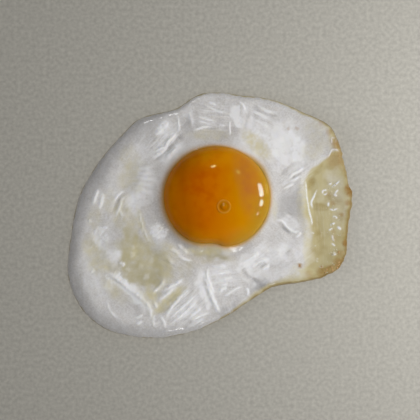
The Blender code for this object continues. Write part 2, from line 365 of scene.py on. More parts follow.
def soft_yolk():
    """Soft yolk under a wet skin: deep orange, golden where it is thin, with sharp highlights."""
    material, tree, shader = new_material("soft_yolk_wet_skin", YOLK_FINISH)
    side = add(tree, "ShaderNodeAttribute", {"attribute_name": "side"}).outputs["Fac"]
    body = add(tree, "ShaderNodeValToRGB", inputs={0: side})
    ramp = body.color_ramp.elements
    ramp[0].color = colour(YOLK_HUE_AND_PAINTED_LIGHT[0][1])
    ramp[1].color = colour(YOLK_HUE_AND_PAINTED_LIGHT[-1][1])
    for at, code in YOLK_HUE_AND_PAINTED_LIGHT[1:-1]:
        ramp.new(at).color = colour(code)
    tint = body.outputs[0]
    for field, code in YOLK_TONES.items():
        share = add(tree, "ShaderNodeAttribute", {"attribute_name": field}).outputs["Fac"]
        tint = add(tree, "ShaderNodeMix", {"data_type": "RGBA"}, {
            0: share, 6: tint, 7: colour(code)}).outputs[2]
    tree.links.new(tint, shader.inputs["Base Color"])
    place = add(tree, "ShaderNodeTexCoord").outputs["Object"]
    fine = add(tree, "ShaderNodeTexNoise", inputs={"Vector": place, "Scale": 300.0, "Detail": 2.0}).outputs[0]
    bump = add(tree, "ShaderNodeBump", inputs={"Strength": 0.1, "Distance": 0.1 * MM, "Height": fine})
    tree.links.new(bump.outputs[0], shader.inputs["Normal"])
    return material


# %% Colour fields of the yolk
def uneven(x, y, grain, seed):
    """Smooth chance values about 0, in patches about as wide as grain. Each use has a seed of its own."""
    places = zip((x / grain).flat, (y / grain).flat)
    return np.array([noise.noise(Vector((a, b, seed))) for a, b in places]).reshape(x.shape)


def warped(x, y, shift, grain, seeds):
    """Places in metres, moved about by up to about shift, in patches about as wide as grain, both in mm."""
    moved_x = x + shift * MM * uneven(x, y, grain * MM, seeds[0])
    moved_y = y + shift * MM * uneven(x, y, grain * MM, seeds[1])
    return moved_x, moved_y


def bell(distance, middle, half_width):
    """1 where the distance is the middle value, and an even fall to both sides."""
    return np.exp(-(((distance - middle) / half_width) ** 2))


def oval(x, y, at_x, at_y, long_half, short_half, bearing):
    """Distance from an oval's middle as a share of its edge: 0 in the middle, 1 on the edge."""
    turn = math.radians(bearing)
    across_x = x / MM - at_x
    across_y = y / MM - at_y
    u = (across_x * math.cos(turn) + across_y * math.sin(turn)) / long_half
    v = (across_y * math.cos(turn) - across_x * math.sin(turn)) / short_half
    return np.sqrt(u * u + v * v)


def store(mesh, name, values):
    """A named value for each point of a mesh, which a material can read."""
    flat = np.asarray(values, np.float32).reshape(-1)
    mesh.attributes.new(name, "FLOAT", "POINT").data.foreach_set("value", flat)


BAND_LEAN = 0.22
# Two thin arcs of painted reflection by the yolk's right rim.
PAINTED_REFLECTION_ARCS = [(19.0, 0.15), (19.6, 0.12)]  # reach, half width
DARK_SIDE = (-3.5, 2.5)


def colour_yolk(mesh):
    points = np.empty(3 * len(mesh.vertices), np.float32)
    mesh.vertices.foreach_get("co", points)
    x, y, _ = points.reshape(-1, 3).T
    x = x - yolk_middle[0]
    y = y - yolk_middle[1]
    drift_x, drift_y = np.array(warped(x, y, 2.5, 9, (51.5, 53.5))) / MM
    mottle = uneven(x, y, 3.2 * MM, 55.5) + 0.5 * uneven(x, y, 1.4 * MM, 57.5)
    left_of_middle = bell(oval(drift_x * MM, drift_y * MM, -6, 2, 13, 9, 80), 0, 1)

    # The rosy band: a soft strip that leans, right of the middle, and a little of it at the bottom.
    band_x = drift_x + BAND_LEAN * y / MM
    band = smooth_step((band_x - 6.5) / 6) * smooth_step((21 - band_x) / 7)
    band = band * smooth_step((drift_y + 14) / 12) * smooth_step((20 - drift_y) / 8)
    rosy = 0.7 * band * (1 + 0.5 * mottle)
    rosy += 0.3 * bell(oval(drift_x * MM, drift_y * MM, 5, -16, 5, 3, 20), 0, 1)

    # The pale marks: a pale ring round the bubble, two thin arcs by the right rim that are painted
    # reflections, and one small dot that is a painted highlight.
    from_middle = np.hypot(x, y) / MM
    from_bubble = np.hypot(x / MM - BUBBLE_AT[0], y / MM - BUBBLE_AT[1])
    arcs = sum(bell(from_middle, *arc) for arc in PAINTED_REFLECTION_ARCS)
    arcs = arcs * smooth_step((x / MM - 18) / 0.6) * smooth_step((y / MM - 0.6) / 0.8)
    arcs = arcs * smooth_step((5 - y / MM) / 0.8)
    pale_ring_and_glints = 0.28 * bell(from_bubble, BUBBLE_RING, 0.3) + 0.8 * arcs
    pale_ring_and_glints += 0.9 * bell(oval(x, y, 8.0, 9.0, 0.9, 0.6, -40), 0, 1)

    from_dark_side = np.hypot(drift_x - DARK_SIDE[0], drift_y - DARK_SIDE[1])
    fields = {
        "side": (drift_x + 17) / 36,
        # Painted light: the flanks to the north and south, which slope away from the light, are painted a
        # lighter amber.
        "painted_flank_light": 0.9 * smooth_step((np.abs(drift_y + 1) - 9) / 10),
        "ember": np.clip(left_of_middle * (0.3 + 0.9 * mottle), 0, 0.8),
        "rosy": np.clip(rosy, 0, 1),
        # The golden rim is the colour of the thin rim. It is laid only on the side away from the shaded left,
        # so it is also painted light.
        "golden": 0.72 * smooth_step((from_dark_side - 17) / 9),
        "shaded": 0.4 * bell(from_bubble, 1.2, 0.8),
        "pale_ring_and_glints": np.clip(pale_ring_and_glints, 0, 1),
    }
    for name, values in fields.items():
        store(mesh, name, values)


# %% Make the yolk
yolk_skin = soft_yolk()
yolk = mesh_from_tree("yolk_dome", yolk_tree(), {
    "Sectors": 200,
    "Rings": 110,
    "Top": YOLK_TOP,
    "Widest at": YOLK_WIDEST_AT,
    "Bottom": YOLK_BOTTOM,
    "Fullness": YOLK_FULLNESS,
    "Evening": 5.0,
    "Mean reach": YOLK_MEAN_REACH,
    "Middle": (*yolk_middle, 0.0),
    "Skin": yolk_skin,
})
colour_yolk(yolk.data)
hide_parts("yolk")
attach(yolk, "root")

# %% [markdown]
# ## The air bubble
#
# One air bubble stands under the yolk's skin: a small dome in the middle of a low ring. It is far
# finer than the grain of the yolk's mesh, so it is a cap of its own, laid on the yolk. Its height
# at each ring is the yolk's own rule, plus the dome and the ring, and it ends just under the skin.

# %% The bubble
BUBBLE_REACH = 3.0
BUBBLE_RISE = 0.35
BUBBLE_PROUD = 0.06
BUBBLE_RINGS = 30
BUBBLE_SECTORS = 48


def yolk_top(x, y):
    """Height of the yolk's upper side, in metres, at places near its middle."""
    out = np.hypot(x, y) / YOLK_MEAN_REACH
    up = (1 - out**YOLK_FULLNESS) ** (1 / YOLK_FULLNESS)
    return YOLK_WIDEST_AT + (YOLK_TOP - YOLK_WIDEST_AT) * up


def build_bubble():
    reach = np.linspace(0, BUBBLE_REACH, BUBBLE_RINGS + 1)[1:, None]
    turns = bearings_of(BUBBLE_SECTORS)
    x = (BUBBLE_AT[0] + reach * np.cos(turns)) * MM
    y = (BUBBLE_AT[1] + reach * np.sin(turns)) * MM
    ring = 0.08 * bell(reach, BUBBLE_RING, 0.3)
    dome = BUBBLE_RISE * np.maximum(1 - (reach / 1.3) ** 2, 0)
    buried = 0.25 * smooth_step((reach - 2.6) / 0.4)
    z = yolk_top(x, y) + (BUBBLE_PROUD + ring + dome - buried) * MM
    middle_x, middle_y = np.array(BUBBLE_AT) * MM
    middle_z = yolk_top(middle_x, middle_y) + (BUBBLE_PROUD + BUBBLE_RISE) * MM
    points = np.concatenate([[(middle_x, middle_y, middle_z)], np.stack([x, y, z], axis=-1).reshape(-1, 3)])
    points[:, :2] += yolk_middle
    after = (np.arange(BUBBLE_SECTORS) + 1) % BUBBLE_SECTORS
    faces = [(0, 1 + k, 1 + after[k]) for k in range(BUBBLE_SECTORS)]
    for start in range(1, 1 + BUBBLE_SECTORS * (BUBBLE_RINGS - 1), BUBBLE_SECTORS):
        low = start + np.arange(BUBBLE_SECTORS)
        faces += zip(low, low + BUBBLE_SECTORS, start + BUBBLE_SECTORS + after, start + after)
    mesh = bpy.data.meshes.new("yolk_bubble")
    mesh.from_pydata(points.tolist(), [], [tuple(int(k) for k in face) for face in faces])
    mesh.shade_smooth()
    colour_yolk(mesh)
    mesh.materials.append(yolk_skin)
    made = bpy.data.objects.new("yolk_bubble", mesh)
    bpy.context.scene.collection.objects.link(made)
    print("yolk_bubble faces:", len(faces))
    return made


bubble = build_bubble()
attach(bubble, "root")

# %% [markdown]
# ## The white's form
#
# The white is thick and rounded where it ran deep, on the left, and thin and crisp on the right.
# These closed curves give the spread's thickness, how far in the rounded edge reaches, and how
# far the crisp edge curls off the pan. They are the solids' own values.

# %% Thickness and edge round the egg
SPREAD_THICKNESS = [  # bearing, thickness of the outer white
    (0, 3.7), (45, 3.6), (90, 3.2), (120, 3.7), (150, 4.4), (180, 5), (215, 5.4), (245, 4.9), (270, 3.7),
    (300, 2.8), (330, 3.4),
]
EDGE_ROUNDING = [  # bearing, how far in from the outline the top takes to reach its thickness
    (0, 1.6), (45, 3), (90, 3), (120, 5), (150, 7.5), (180, 9), (220, 9), (250, 6.5), (275, 3), (300, 2.2),
    (330, 2),
]
EDGE_WIDEST_AT = [  # bearing, height of the outermost line above the underside
    (0, 0.5), (60, 0.8), (120, 1.1), (180, 1.5), (230, 1.5), (280, 0.8), (320, 0.5),
]
EDGE_LIFT = [  # bearing, how far the browned edge curls off the surface
    (0, 0.9), (12, 0.4), (25, 0.7), (45, 0), (180, 0), (285, 0), (318, 0.3), (332, 1), (347, 0.3),
]
UNDERCUT = 0.6 * MM
FOOT_INSET = 9.0 * MM
COLLAR_FALL = 6.0 * MM
LEAST_THICKNESS = 0.9 * MM
FILM_CLIMB = 0.5 * MM
FILM_REACH = 0.3 * MM
BED_LIP = 5.7 * MM
BED_DEPTH = 4.6 * MM
BED_GAP = 0.3 * MM
STRIP_LINE = [  # the thin browned strip lies east of a line through these points: y, x
    (-60, 90), (-37, 48), (-32, 37.5), (-24, 35.6), (-14, 37.4), (-6, 35.8), (4, 34.7), (10, 36.6),
    (15, 43.5), (17.5, 48), (24, 60), (60, 90),
]
STRIP_THICKNESS = 1.7 * MM
STRIP_STEP = 5.0 * MM
STRIP_SOFT_BELOW = -11 * MM
STRIP_SOFT_ABOVE = 6 * MM
STRIP_SOFT_STEP = 6 * MM


def strip_share(x, y, step, soft=STRIP_SOFT_STEP):
    """1 on the thin browned strip, 0 on the thick white, with a rise between that widens below."""
    strip_y, strip_x = np.array(STRIP_LINE, float).T
    east = x - smooth_curve(strip_y, strip_x, y / MM) * MM
    above = smooth_step((y - STRIP_SOFT_ABOVE) / (5 * MM)) * smooth_step((16 * MM - y) / (4 * MM))
    widened = step + soft * (smooth_step((STRIP_SOFT_BELOW - y) / (8 * MM)) + 0.6 * above)
    return smooth_step(east / widened + 0.5)


# %% [markdown]
# ## Folds, hollows and lumps
#
# As the white sets it shrinks on the pan and wrinkles: long welts where a skin was pushed up,
# fans of small ripples, creases between them, and hollows where it stayed thin. Each is a path
# of a few points, with a half width, a height and how white it is: a welt is whiter, partly
# because it is thick and partly as a painted highlight on its crest, and a crease is greyer, as
# painted shade. They fade out at both ends.

# %% Folds of the white
# Whiteness above 0 is the thicker white of a welt together with a painted highlight on its crest. Below 0 it
# is painted shade in a crease.
FOLDS = [  # half width, height, whiteness, points along it
    # The pocket at the lower left, and the streak that leads out of it.
    (1.5, 0.35, 0.8, [(-42, -29.8), (-38.8, -32.1), (-35.4, -34.8), (-31.5, -38), (-28.5, -40.6)]),
    (0.6, 0.7, 0.9, [(-43.1, -29.5), (-41.4, -30.2), (-38.8, -32.1), (-36.2, -34.1), (-33.6, -36.2),
                      (-31, -38.4), (-28.8, -40.3), (-26.6, -42.7), (-25.8, -44.5), (-25.6, -48.8)]),
    (0.28, 0.35, 0.7, [(-30.2, -5), (-29.5, -8.9), (-28.4, -12.4), (-27.1, -15.4), (-25.8, -17.6),
                       (-23.8, -18.7)]),
    (0.55, 0.6, 0.9, [(-15.8, -18), (-12.8, -20.6), (-10.4, -22.4)]),
    (0.5, 0.6, 0.8, [(-19.1, -19.3), (-16.2, -21.3), (-14.1, -23.4), (-11.9, -24.5), (-8.4, -25)]),
    (0.6, 0.5, 0.3, [(-20.1, -21.9), (-18.8, -24.5), (-16.2, -26.7)]),
    (0.7, 0.7, 0.6, [(-19.7, -31), (-21.4, -34.1), (-23.6, -36.2), (-26.2, -38.4)]),
    (0.65, 0.8, 1, [(-12.3, -32.3), (-16.2, -34.1), (-19.3, -35.4), (-22.3, -36.7)]),
    (0.7, 0.8, 0.9, [(-14.9, -34.9), (-18.8, -37.4), (-21.4, -39.4), (-23.2, -41)]),
    (0.5, 0.6, 0.7, [(-24.9, -40.1), (-23.8, -42.3), (-22.7, -43.6)]),
    (0.5, 0.6, 0.8, [(-23.8, -45.5), (-24.7, -48.4), (-24, -51.4)]),
    (0.5, 0.6, 0.8, [(-22.7, -45.8), (-20.6, -48.8), (-19.9, -51.8)]),
    (0.4, 0.35, 0.6, [(-43.3, -39.7), (-42.2, -41.9), (-41.6, -44), (-40.1, -46.2), (-37, -47.9)]),
    (0.4, 0.4, 0.7, [(-32.7, -47.5), (-30.5, -47.1), (-28.2, -45.3)]),
    (0.5, 0.5, 0.8, [(-31.6, -50.1), (-28.6, -48.4)]),
    # The fan of ripples along the bottom.
    (0.55, 0.7, 0.9, [(-10.2, -35.6), (-13.6, -38.4), (-17.1, -42.3), (-20.6, -47.5)]),
    (0.5, 0.5, 0.7, [(-7.4, -38), (-10.6, -40.6), (-14.9, -44.5), (-18.8, -47.9)]),
    (0.6, 0.7, 0.9, [(-7.6, -41), (-13.6, -45.8), (-16.7, -47.9)]),
    (0.6, 0.7, 0.9, [(-4.5, -42.3), (-8, -44.9), (-11.9, -47.9)]),
    (0.5, 0.5, 0.7, [(-2.4, -44.9), (-6.3, -46.2), (-10.6, -48.4)]),
    (0.6, 0.7, 0.9, [(-4.1, -47.1), (-8.4, -49.2), (-12.3, -51.4)]),
    # The main fold under the yolk, with its companion line.
    (0.9, 1, 0.8, [(-4.5, -30.6), (-4, -33.2), (-3.2, -36.2), (-1.9, -39.7), (-0.1, -43.6), (1, -46.2)]),
    (0.45, 0.5, 0.6, [(-3.4, -27.1), (-3.8, -30.6), (-2.5, -35), (-0.6, -38.4)]),
    (0.45, -0.15, -0.15, [(-5.6, -29), (-5.5, -33), (-4.6, -37), (-3.2, -41)]),
    # The level ripples right of it.
    (0.55, 0.6, 0.9, [(-2.5, -27.3), (4.2, -27.3)]),
    (0.5, 0.5, 0.7, [(-2.3, -29.8), (5.9, -29.6)]),
    (0.5, 0.5, 0.8, [(0.7, -32.2), (6.8, -32)]),
    (0.45, 0.5, 0.7, [(0.3, -34.4), (4.6, -34.2)]),
    (0.55, 0.6, 1, [(0.3, -37.5), (2, -36.2), (4.2, -35.4)]),
    (0.5, 0.6, 1, [(2, -39.5), (4.2, -38), (6.8, -36.2), (10.7, -34.9)]),
    # The crease and the ridges at the lower right.
    (0.8, -0.4, -0.45, [(8.5, -27.6), (10.3, -29.3), (12, -31.5), (14.6, -32.6), (17.6, -33.2)]),
    (0.5, 0.6, 0.9, [(11.1, -35.4), (12, -37.5), (12.2, -39.3)]),
    (0.7, 0.8, 0.9, [(9.4, -26.1), (12, -25), (15, -22.8), (17.6, -21.1)]),
    (0.55, 0.6, 0.7, [(13.3, -27.8), (16.8, -25.4), (20.7, -24.1)]),
    (0.8, -0.25, -0.35, [(15.4, -28.6), (18.4, -26.9), (21.4, -26.4)]),
    (0.5, 0.5, 0.6, [(17.2, -28.6), (21.1, -26)]),
    (1, -0.3, -0.4, [(25.9, -23.7), (29.3, -20.4)]),
    # The bent fold right of the yolk.
    (0.38, 0.7, 1, [(22.4, -9.6), (24.6, -9.4), (26.3, -10.9), (29.3, -13.7), (31.1, -13.7), (32.8, -12.6)]),
    (0.36, 0.6, 1, [(30, -16.3), (31.5, -15.2), (33, -13.3)]),
    (0.6, -0.45, -0.4, [(24.4, -11.4), (27, -13.4), (29.3, -15.2)]),
    (0.55, 0.6, 0.9, [(27.2, 6.2), (30.2, 9.3), (33.2, 10.8), (35, 11.2)]),
    (0.45, 0.5, 0.8, [(27.6, 5.2), (30.2, 6.7), (33, 8.4)]),
    (0.4, -0.35, -0.5, [(28.2, 6.4), (30.8, 8.2), (33.4, 9.6)]),
    (0.5, 0.6, 0.8, [(25.4, 2.8), (28, 4.1), (30.2, 4.9)]),
    (0.7, -0.25, -0.4, [(24, 7.5), (27.5, 11), (32, 14)]),
    # The welt along the thin strip's edge.
    (0.25, 0.45, 1, [(34.5, 6.8), (34.9, 1.5), (35.7, -3.7), (36.7, -8.9), (37.4, -12)]),
    (0.28, 0.5, 1, [(39.6, 3.2), (38, 0.2), (36.8, -2.4), (37.6, -5.6)]),
    (0.28, 0.45, 1, [(42.9, 14.4), (43.6, 15.8), (44.2, 17.4), (45.6, 18.2), (48.6, 16.8)]),
    # The small ridges of fat on the strip.
    (0.3, 0.4, 1, [(44.2, 22.5), (45.3, 22.7), (46.6, 22.5)]),
    (0.3, 0.4, 1, [(44.5, 22.6), (44.5, 21.4), (44.7, 20.4)]),
    (0.28, 0.35, 0.9, [(46.4, 22.6), (46.4, 21.6), (46.2, 20.8)]),
    (0.3, 0.45, 1, [(44.7, 3.3), (46.5, 4.8), (48.4, 6.3)]),
    (0.3, 0.4, 1, [(43.6, 4.4), (44.2, 5), (44.8, 5.3)]),
    (0.24, 0.35, 0.9, [(41.3, 0.7), (41.5, 1.8), (42.3, 2.4), (43.2, 1.8)]),
    (0.22, 0.3, 0.7, [(41.3, 1.1), (42.2, 0.6), (43, 1.1), (43.2, 1.8)]),
    (0.3, 0.4, 1, [(47.7, 2.7), (46.6, 1.6), (46, 1)]),
    (0.28, 0.4, 1, [(45.8, 1.4), (46.4, 0.6), (47.1, 0)]),
    (0.3, 0.45, 1, [(43.9, -4.9), (45.5, -5.3), (47.7, -4.8)]),
    (0.28, 0.35, 0.9, [(43.9, -2.2), (43.5, -3.2), (43.8, -4.2)]),
    (0.3, 0.45, 1, [(45.4, -7.6), (46.3, -8.4), (47.1, -9)]),
    (0.3, 0.45, 1, [(44.2, -11.3), (45.3, -10.9), (46.4, -10.5)]),
    (0.42, 0.5, 1, [(46.8, -11.8), (47.7, -12.4), (48.7, -12.9)]),
    (0.3, 0.4, 1, [(43.7, -13.4), (44.6, -12.9), (45.5, -12.6)]),
    (0.3, 0.4, 0.8, [(44.6, -18.2), (45.3, -18.8), (46.4, -19.6)]),
    (0.3, 0.4, 0.8, [(45.4, -15), (45.2, -16.4), (45.8, -17.6)]),
    # The top.
    (0.5, 0.6, 1, [(8.3, 38), (9.2, 36.5), (10.1, 35), (10.7, 32.6)]),
    (0.8, -0.2, -0.15, [(11.4, 35.5), (12, 31.7), (10.9, 27.8), (10.1, 24.8)]),
    (0.4, 0.5, 1, [(4.9, 29.8), (4.8, 27.2), (5.1, 24.8), (4.7, 23)]),
    (0.35, 0.35, 0.8, [(-8.4, 31.2), (-5.2, 30.4), (-0.5, 29.4)]),
    (0.3, 0.3, 0.7, [(-8, 29.2), (-4.5, 28.5), (-1, 27.9)]),
    (0.35, 0.4, 0.9, [(-9.6, 25.4), (-5.8, 26.7), (-1.2, 27)]),
    (0.35, 0.35, 0.8, [(-5.5, 35.6), (0.7, 33.2), (3.6, 32.8)]),
    (0.4, 0.35, 0.8, [(-3.6, 36.5), (0.3, 35.4)]),
    (0.4, 0.3, 0.6, [(0.5, 27.8), (3.5, 27.4)]),
    (0.7, -0.2, -0.35, [(13.4, 35.6), (17, 33.2), (21.4, 31.3), (24.6, 31.4)]),
    (0.6, -0.15, -0.3, [(13, 32.6), (17.5, 30), (22.5, 27)]),
    (0.6, 0.3, 0.6, [(12.6, 34.2), (17, 31.6), (21, 29.2)]),
    (0.6, 0.3, 0.6, [(15, 35.4), (20.2, 32.8), (24, 32.6)]),
    # The top left.
    (1, 0.8, 1.5, [(-18.6, 29.6), (-21.2, 26.8), (-24, 23)]),
    (0.65, 0.8, 1.4, [(-14.9, 24.6), (-17, 23.5), (-19.2, 21.3), (-20.1, 19.6), (-22.2, 18.7), (-24.8, 17)]),
    (0.7, 0.6, 1.3, [(-18.8, 19.2), (-22.2, 16.6), (-25.4, 14.6)]),
    (0.9, 0.9, 1.4, [(-13.8, 20.4), (-17, 17.4), (-19.2, 15.3), (-21.6, 13.4)]),
    (1.1, -0.6, -0.35, [(-12.5, 24.6), (-16.2, 21.4), (-19, 18.2), (-21.6, 15.6)]),
    (1.6, -0.35, -0.15, [(-14.2, 32.5), (-12.2, 29.1), (-12.7, 24.4)]),
    (0.5, 0.5, 0.5, [(-15.4, 32.6), (-14.8, 26.1), (-16, 24.8)]),
    (0.8, 0.4, 0.4, [(-10.6, 34), (-9.8, 29), (-10.2, 25.8)]),
    # The left.
    (0.65, 0.9, 1.9, [(-46, 3.4), (-46.8, 1.4), (-47.5, -0.8), (-48.2, -3.8)]),
    (0.6, 0.8, 1.9, [(-43.9, 1.4), (-44.6, -1.2), (-45.2, -3.2), (-45.9, -5.6)]),
    (0.45, 0.6, 1, [(-35.5, 0.4), (-36.8, -1.6), (-37.7, -4.2), (-39.6, -8.7)]),
    (0.4, 0.5, 0.8, [(-37.7, -5), (-36.8, -8.3)]),
    (0.5, 0.4, 0.6, [(-35.5, 3), (-37.9, 0.6), (-40.7, -3.1)]),
    (0.8, -0.3, -0.3, [(-35.6, 1.8), (-38.2, -1.4), (-40.6, -5.2)]),
    (0.4, 0.4, 1.1, [(-49.4, -29), (-48.4, -29.3), (-47.4, -28.4)]),
]

# %% Silky zones, whiter places and painted highlights, painted light beside the yolk, blisters and hollows
SATIN = [  # x, y, long half, short half, bearing of the streaks, strength
    (-12, -43, 13, 8, 42, 0.75), (3, -32.5, 8, 8, 6, 0.5), (16, -25, 10, 6, 33, 0.5),
    (18, 30.5, 9, 5, -26, 0.45), (-2, 31, 8, 7.5, -8, 0.7), (-20, 21, 9, 7, 46, 0.65),
    (-28, 7, 7, 8, -4, 0.25), (-39, -4, 8, 6, 66, 0.4), (30, 7, 8, 5, 36, 0.6), (-46, -16, 9, 5, 80, 0.2),
    (-44, -40, 13, 5, -52, 0.1), (-33, -43, 9, 6, -30, 0.15), (27, -14, 8, 6, -40, 0.3),
    (30, -24, 8, 6, 40, 0.3), (26, 20, 10, 8, -62, 0.15), (-15, -27, 8, 5, -35, 0.25),
    (6, -43, 8, 4, -70, 0.3), (-32, 20, 10, 6, 55, 0.2), (20, 10, 7, 5, -60, 0.3),
    (41.5, -8, 18, 5, 93, 0.12),
]
# Whiter places: partly a whiter tone of the set white, partly painted highlights on facets that face the
# light.
WHITER_AND_PAINTED_HIGHLIGHT_PATCHES = [  # x, y, long half, short half, bearing, strength
    (28, 18.5, 8, 5, -55, 0.75), (20, 25, 7, 4, -50, 0.4), (14, -23.5, 7, 2.5, 35, 0.4),
    (6, -29, 7, 4, 0, 0.3), (28, -10.4, 3.6, 1.8, -40, 0.5), (-27, 3.5, 3, 5, 0, 0.35),
    (7.9, 31, 4, 1.6, -65, 0.8), (43.5, 1, 4, 4, 0, 0.08), (-48, -33, 3, 8, 20, 0.25),
    (-18, 26, 4, 3, 45, 0.3), (31, -22, 6, 5, 40, 0.25), (-9, -42, 8, 5, 42, 0.15),
    (24, -31, 8, 2.5, 15, 0.3), (-32.2, -3, 3.2, 5, -15, 0.6), (-23.5, -15.5, 3, 5, 20, 0.25),
    (17, 20, 4, 3, -48, 0.3), (-30, 15.5, 5, 3.5, 50, 0.25), (-18.5, 17, 5, 2.5, 45, 0.35),
    (22.5, -23, 5, 3, 35, 0.45), (13, -34, 3, 1.5, -30, 0.3), (-6.5, -33, 1.5, 5, 10, 0.6),
    (-30.5, -40, 5, 2, -42, 0.5), (12.4, 29.6, 2, 5, 5, 0.5), (12, 23.5, 4, 2.5, -20, 0.35),
    (-12.5, 33, 2, 3.5, 0, 0.35), (-38, -35, 3, 2, -40, 0.3), (-40.8, -23.2, 2.4, 3.2, 0, 0.5),
    (29, 26, 6, 4, -40, 0.25), (24, 13, 5, 3, -50, 0.35), (-40, 3, 7, 3.5, 60, 0.2),
    (-48, -24, 4, 6, 0, 0.15), (-45, -17.6, 2.4, 4.5, 0, 0.55), (-41.7, -34.6, 2, 2, 0, 0.4),
    (0, -32, 4, 4, 0, 0.35), (-4, -39.5, 1.4, 4.5, 18, 0.7), (16.5, -27.6, 4.5, 2.6, 30, 0.5),
    (-31, -38.2, 3.6, 1.5, -45, 0.7), (-21.5, 20.2, 4.5, 1.6, 45, 0.5), (-22.3, -13.4, 3, 2.2, 0, 0.25),
    (45, 8.5, 3, 2, 0, 0.15),
]
# Frost: small raised specks whose brightness is a painted glint.
FROST_AND_GLINTS = [  # x, y, radius, strength: patches of fine bright specks
    (-23.4, -13.2, 2.4, 1.5), (-20.6, -13, 1.8, 1.2), (-44.5, -13.5, 2.6, 1.2), (-39.6, -31.2, 2, 1.6),
    (-38.4, -32.4, 1.7, 1.3), (-35.9, -34.4, 1.6, 1), (-50.4, -20.9, 0.9, 0.9), (-46.4, -17.6, 2, 1.1),
    (-49, -20, 0.9, 0.5),
]
# Painted light and shade on the ring beside the yolk: lighter where the light reaches it, and a painted
# shadow of the yolk at its lower left.
COLLAR_PAINTED_LIGHT_AND_SHADE = [  # bearing, how much whiter (above 0) or darker (below 0) the ring beside the yolk is
    (0, 0.15), (30, 0.15), (60, 0.5), (90, -0.1), (120, 0.4), (150, 0.5), (180, 0), (205, -0.5),
    (235, -0.9), (255, -0.3), (277, 0.4), (292, -0.3), (330, 0.2),
]
STRIPES = [  # the two ends of each soft stripe that runs to the yolk's left side
    ((-33.6, 9.5), (-22.8, 12.4)), ((-34, 8.2), (-22.8, 9.6)), ((-34, 7), (-22.8, 6.6)),
    ((-34, 5.6), (-23, 3.6)), ((-33, 4), (-24, 0.4)),
]
LUMPS = [  # x, y, radius, height: small blisters on the thick white
    (-49.1, -9.9, 0.8, 0.4), (-29.6, -13.4, 1, 0.2), (-32.9, -22.5, 1.6, 0.35), (-32.6, -19.6, 1.2, 0.25),
    (-36.6, -26.3, 1.1, 0.7), (-34.7, -28.6, 1.1, 0.2), (-27.6, -31.5, 1.4, 0.2), (-29.8, -27.2, 1.3, 0.15),
    (-25.6, -25.4, 1.4, 0.15), (45.6, -22.8, 1, 0.5), (37.3, -14.6, 0.6, 0.4), (39.6, -25, 0.5, 0.3),
    (40.7, -27.4, 0.5, 0.3), (38.7, -19.7, 0.45, 0.3),
]
HOLLOWS = [  # x, y, long half, short half, bearing, depth
    (-28, -25.5, 10, 8, -63, 1.3), (-18.5, -40.3, 6.5, 1.9, 42, 0.2), (-34, 8, 6.5, 4, 60, 0.7),
    (28.5, -2.5, 6, 5, 60, 0.35), (16.3, -34.5, 3.4, 2.2, 25, 0.5), (-4, -22.5, 8, 2.5, 0, 0.8),
    (-48, -17, 4.5, 7.5, 0, 0.6), (-36, -43, 7, 4, -20, 0.7),
]


# %% Relief of the white
FOLD_RISE = 0.6
FOLD_WHITENESS = 1.5
FADE_SHARE = 0.4
FADE_LENGTH = 3.5 * MM
STRIPE_HALF_WIDTH = 0.8 * MM
STRIPE_RISE = 0.2 * MM
STREAK_WIDTH = 1.1 * MM
STREAK_PRESS = 0.15
STREAK_RISE = 0.14 * MM
STREAK_APART = 7  # millimetres between the noise of one zone and of the next
FROST_GRAIN = 0.7 * MM
FROST_RISE = 0.13 * MM
LUMP_RISE = 0.6


def along_path(x, y, path):
    """Distance from a smooth path, and how far a place is from the path's nearer end."""
    points = np.array(path, float)
    knots = np.arange(len(points))
    steps = np.linspace(0, len(points) - 1, 4 * (len(points) - 1) + 1)
    points = np.stack([smooth_curve(knots, points[:, k], steps) for k in (0, 1)], axis=1) * MM
    nearest = np.full(x.shape, np.inf)
    along = np.zeros(x.shape)
    length = 0.0
    for start, end in zip(points[:-1], points[1:]):
        step = end - start
        reach = np.hypot(*step)
        t = np.clip(((x - start[0]) * step[0] + (y - start[1]) * step[1]) / reach**2, 0, 1)
        gap = np.hypot(x - start[0] - t * step[0], y - start[1] - t * step[1])
        along = np.where(gap < nearest, length + t * reach, along)
        nearest = np.minimum(gap, nearest)
        length += reach
    return nearest, np.minimum(along, length - along), length


def brushed(x, y):
    """Place along and across the streaks of the zone that leads there, its number, and its strength."""
    leading = np.zeros(x.shape)
    second = np.zeros(x.shape)
    along = np.zeros(x.shape)
    across = np.zeros(x.shape)
    number = np.zeros(x.shape)
    for k, (*place, strength) in enumerate(SATIN):
        turn = math.radians(place[-1])
        zone = strength * smooth_step(1.4 - oval(x, y, *place))
        wins = zone > leading
        second = np.where(wins, leading, np.maximum(second, zone))
        leading = np.where(wins, zone, leading)
        along = np.where(wins, x * math.cos(turn) + y * math.sin(turn), along)
        across = np.where(wins, y * math.cos(turn) - x * math.sin(turn), across)
        number = np.where(wins, k, number)
    # Where two zones are equal the streaks fade out, so that no seam shows between them.
    return along, across, number, np.minimum(leading, 3 * (leading - second))


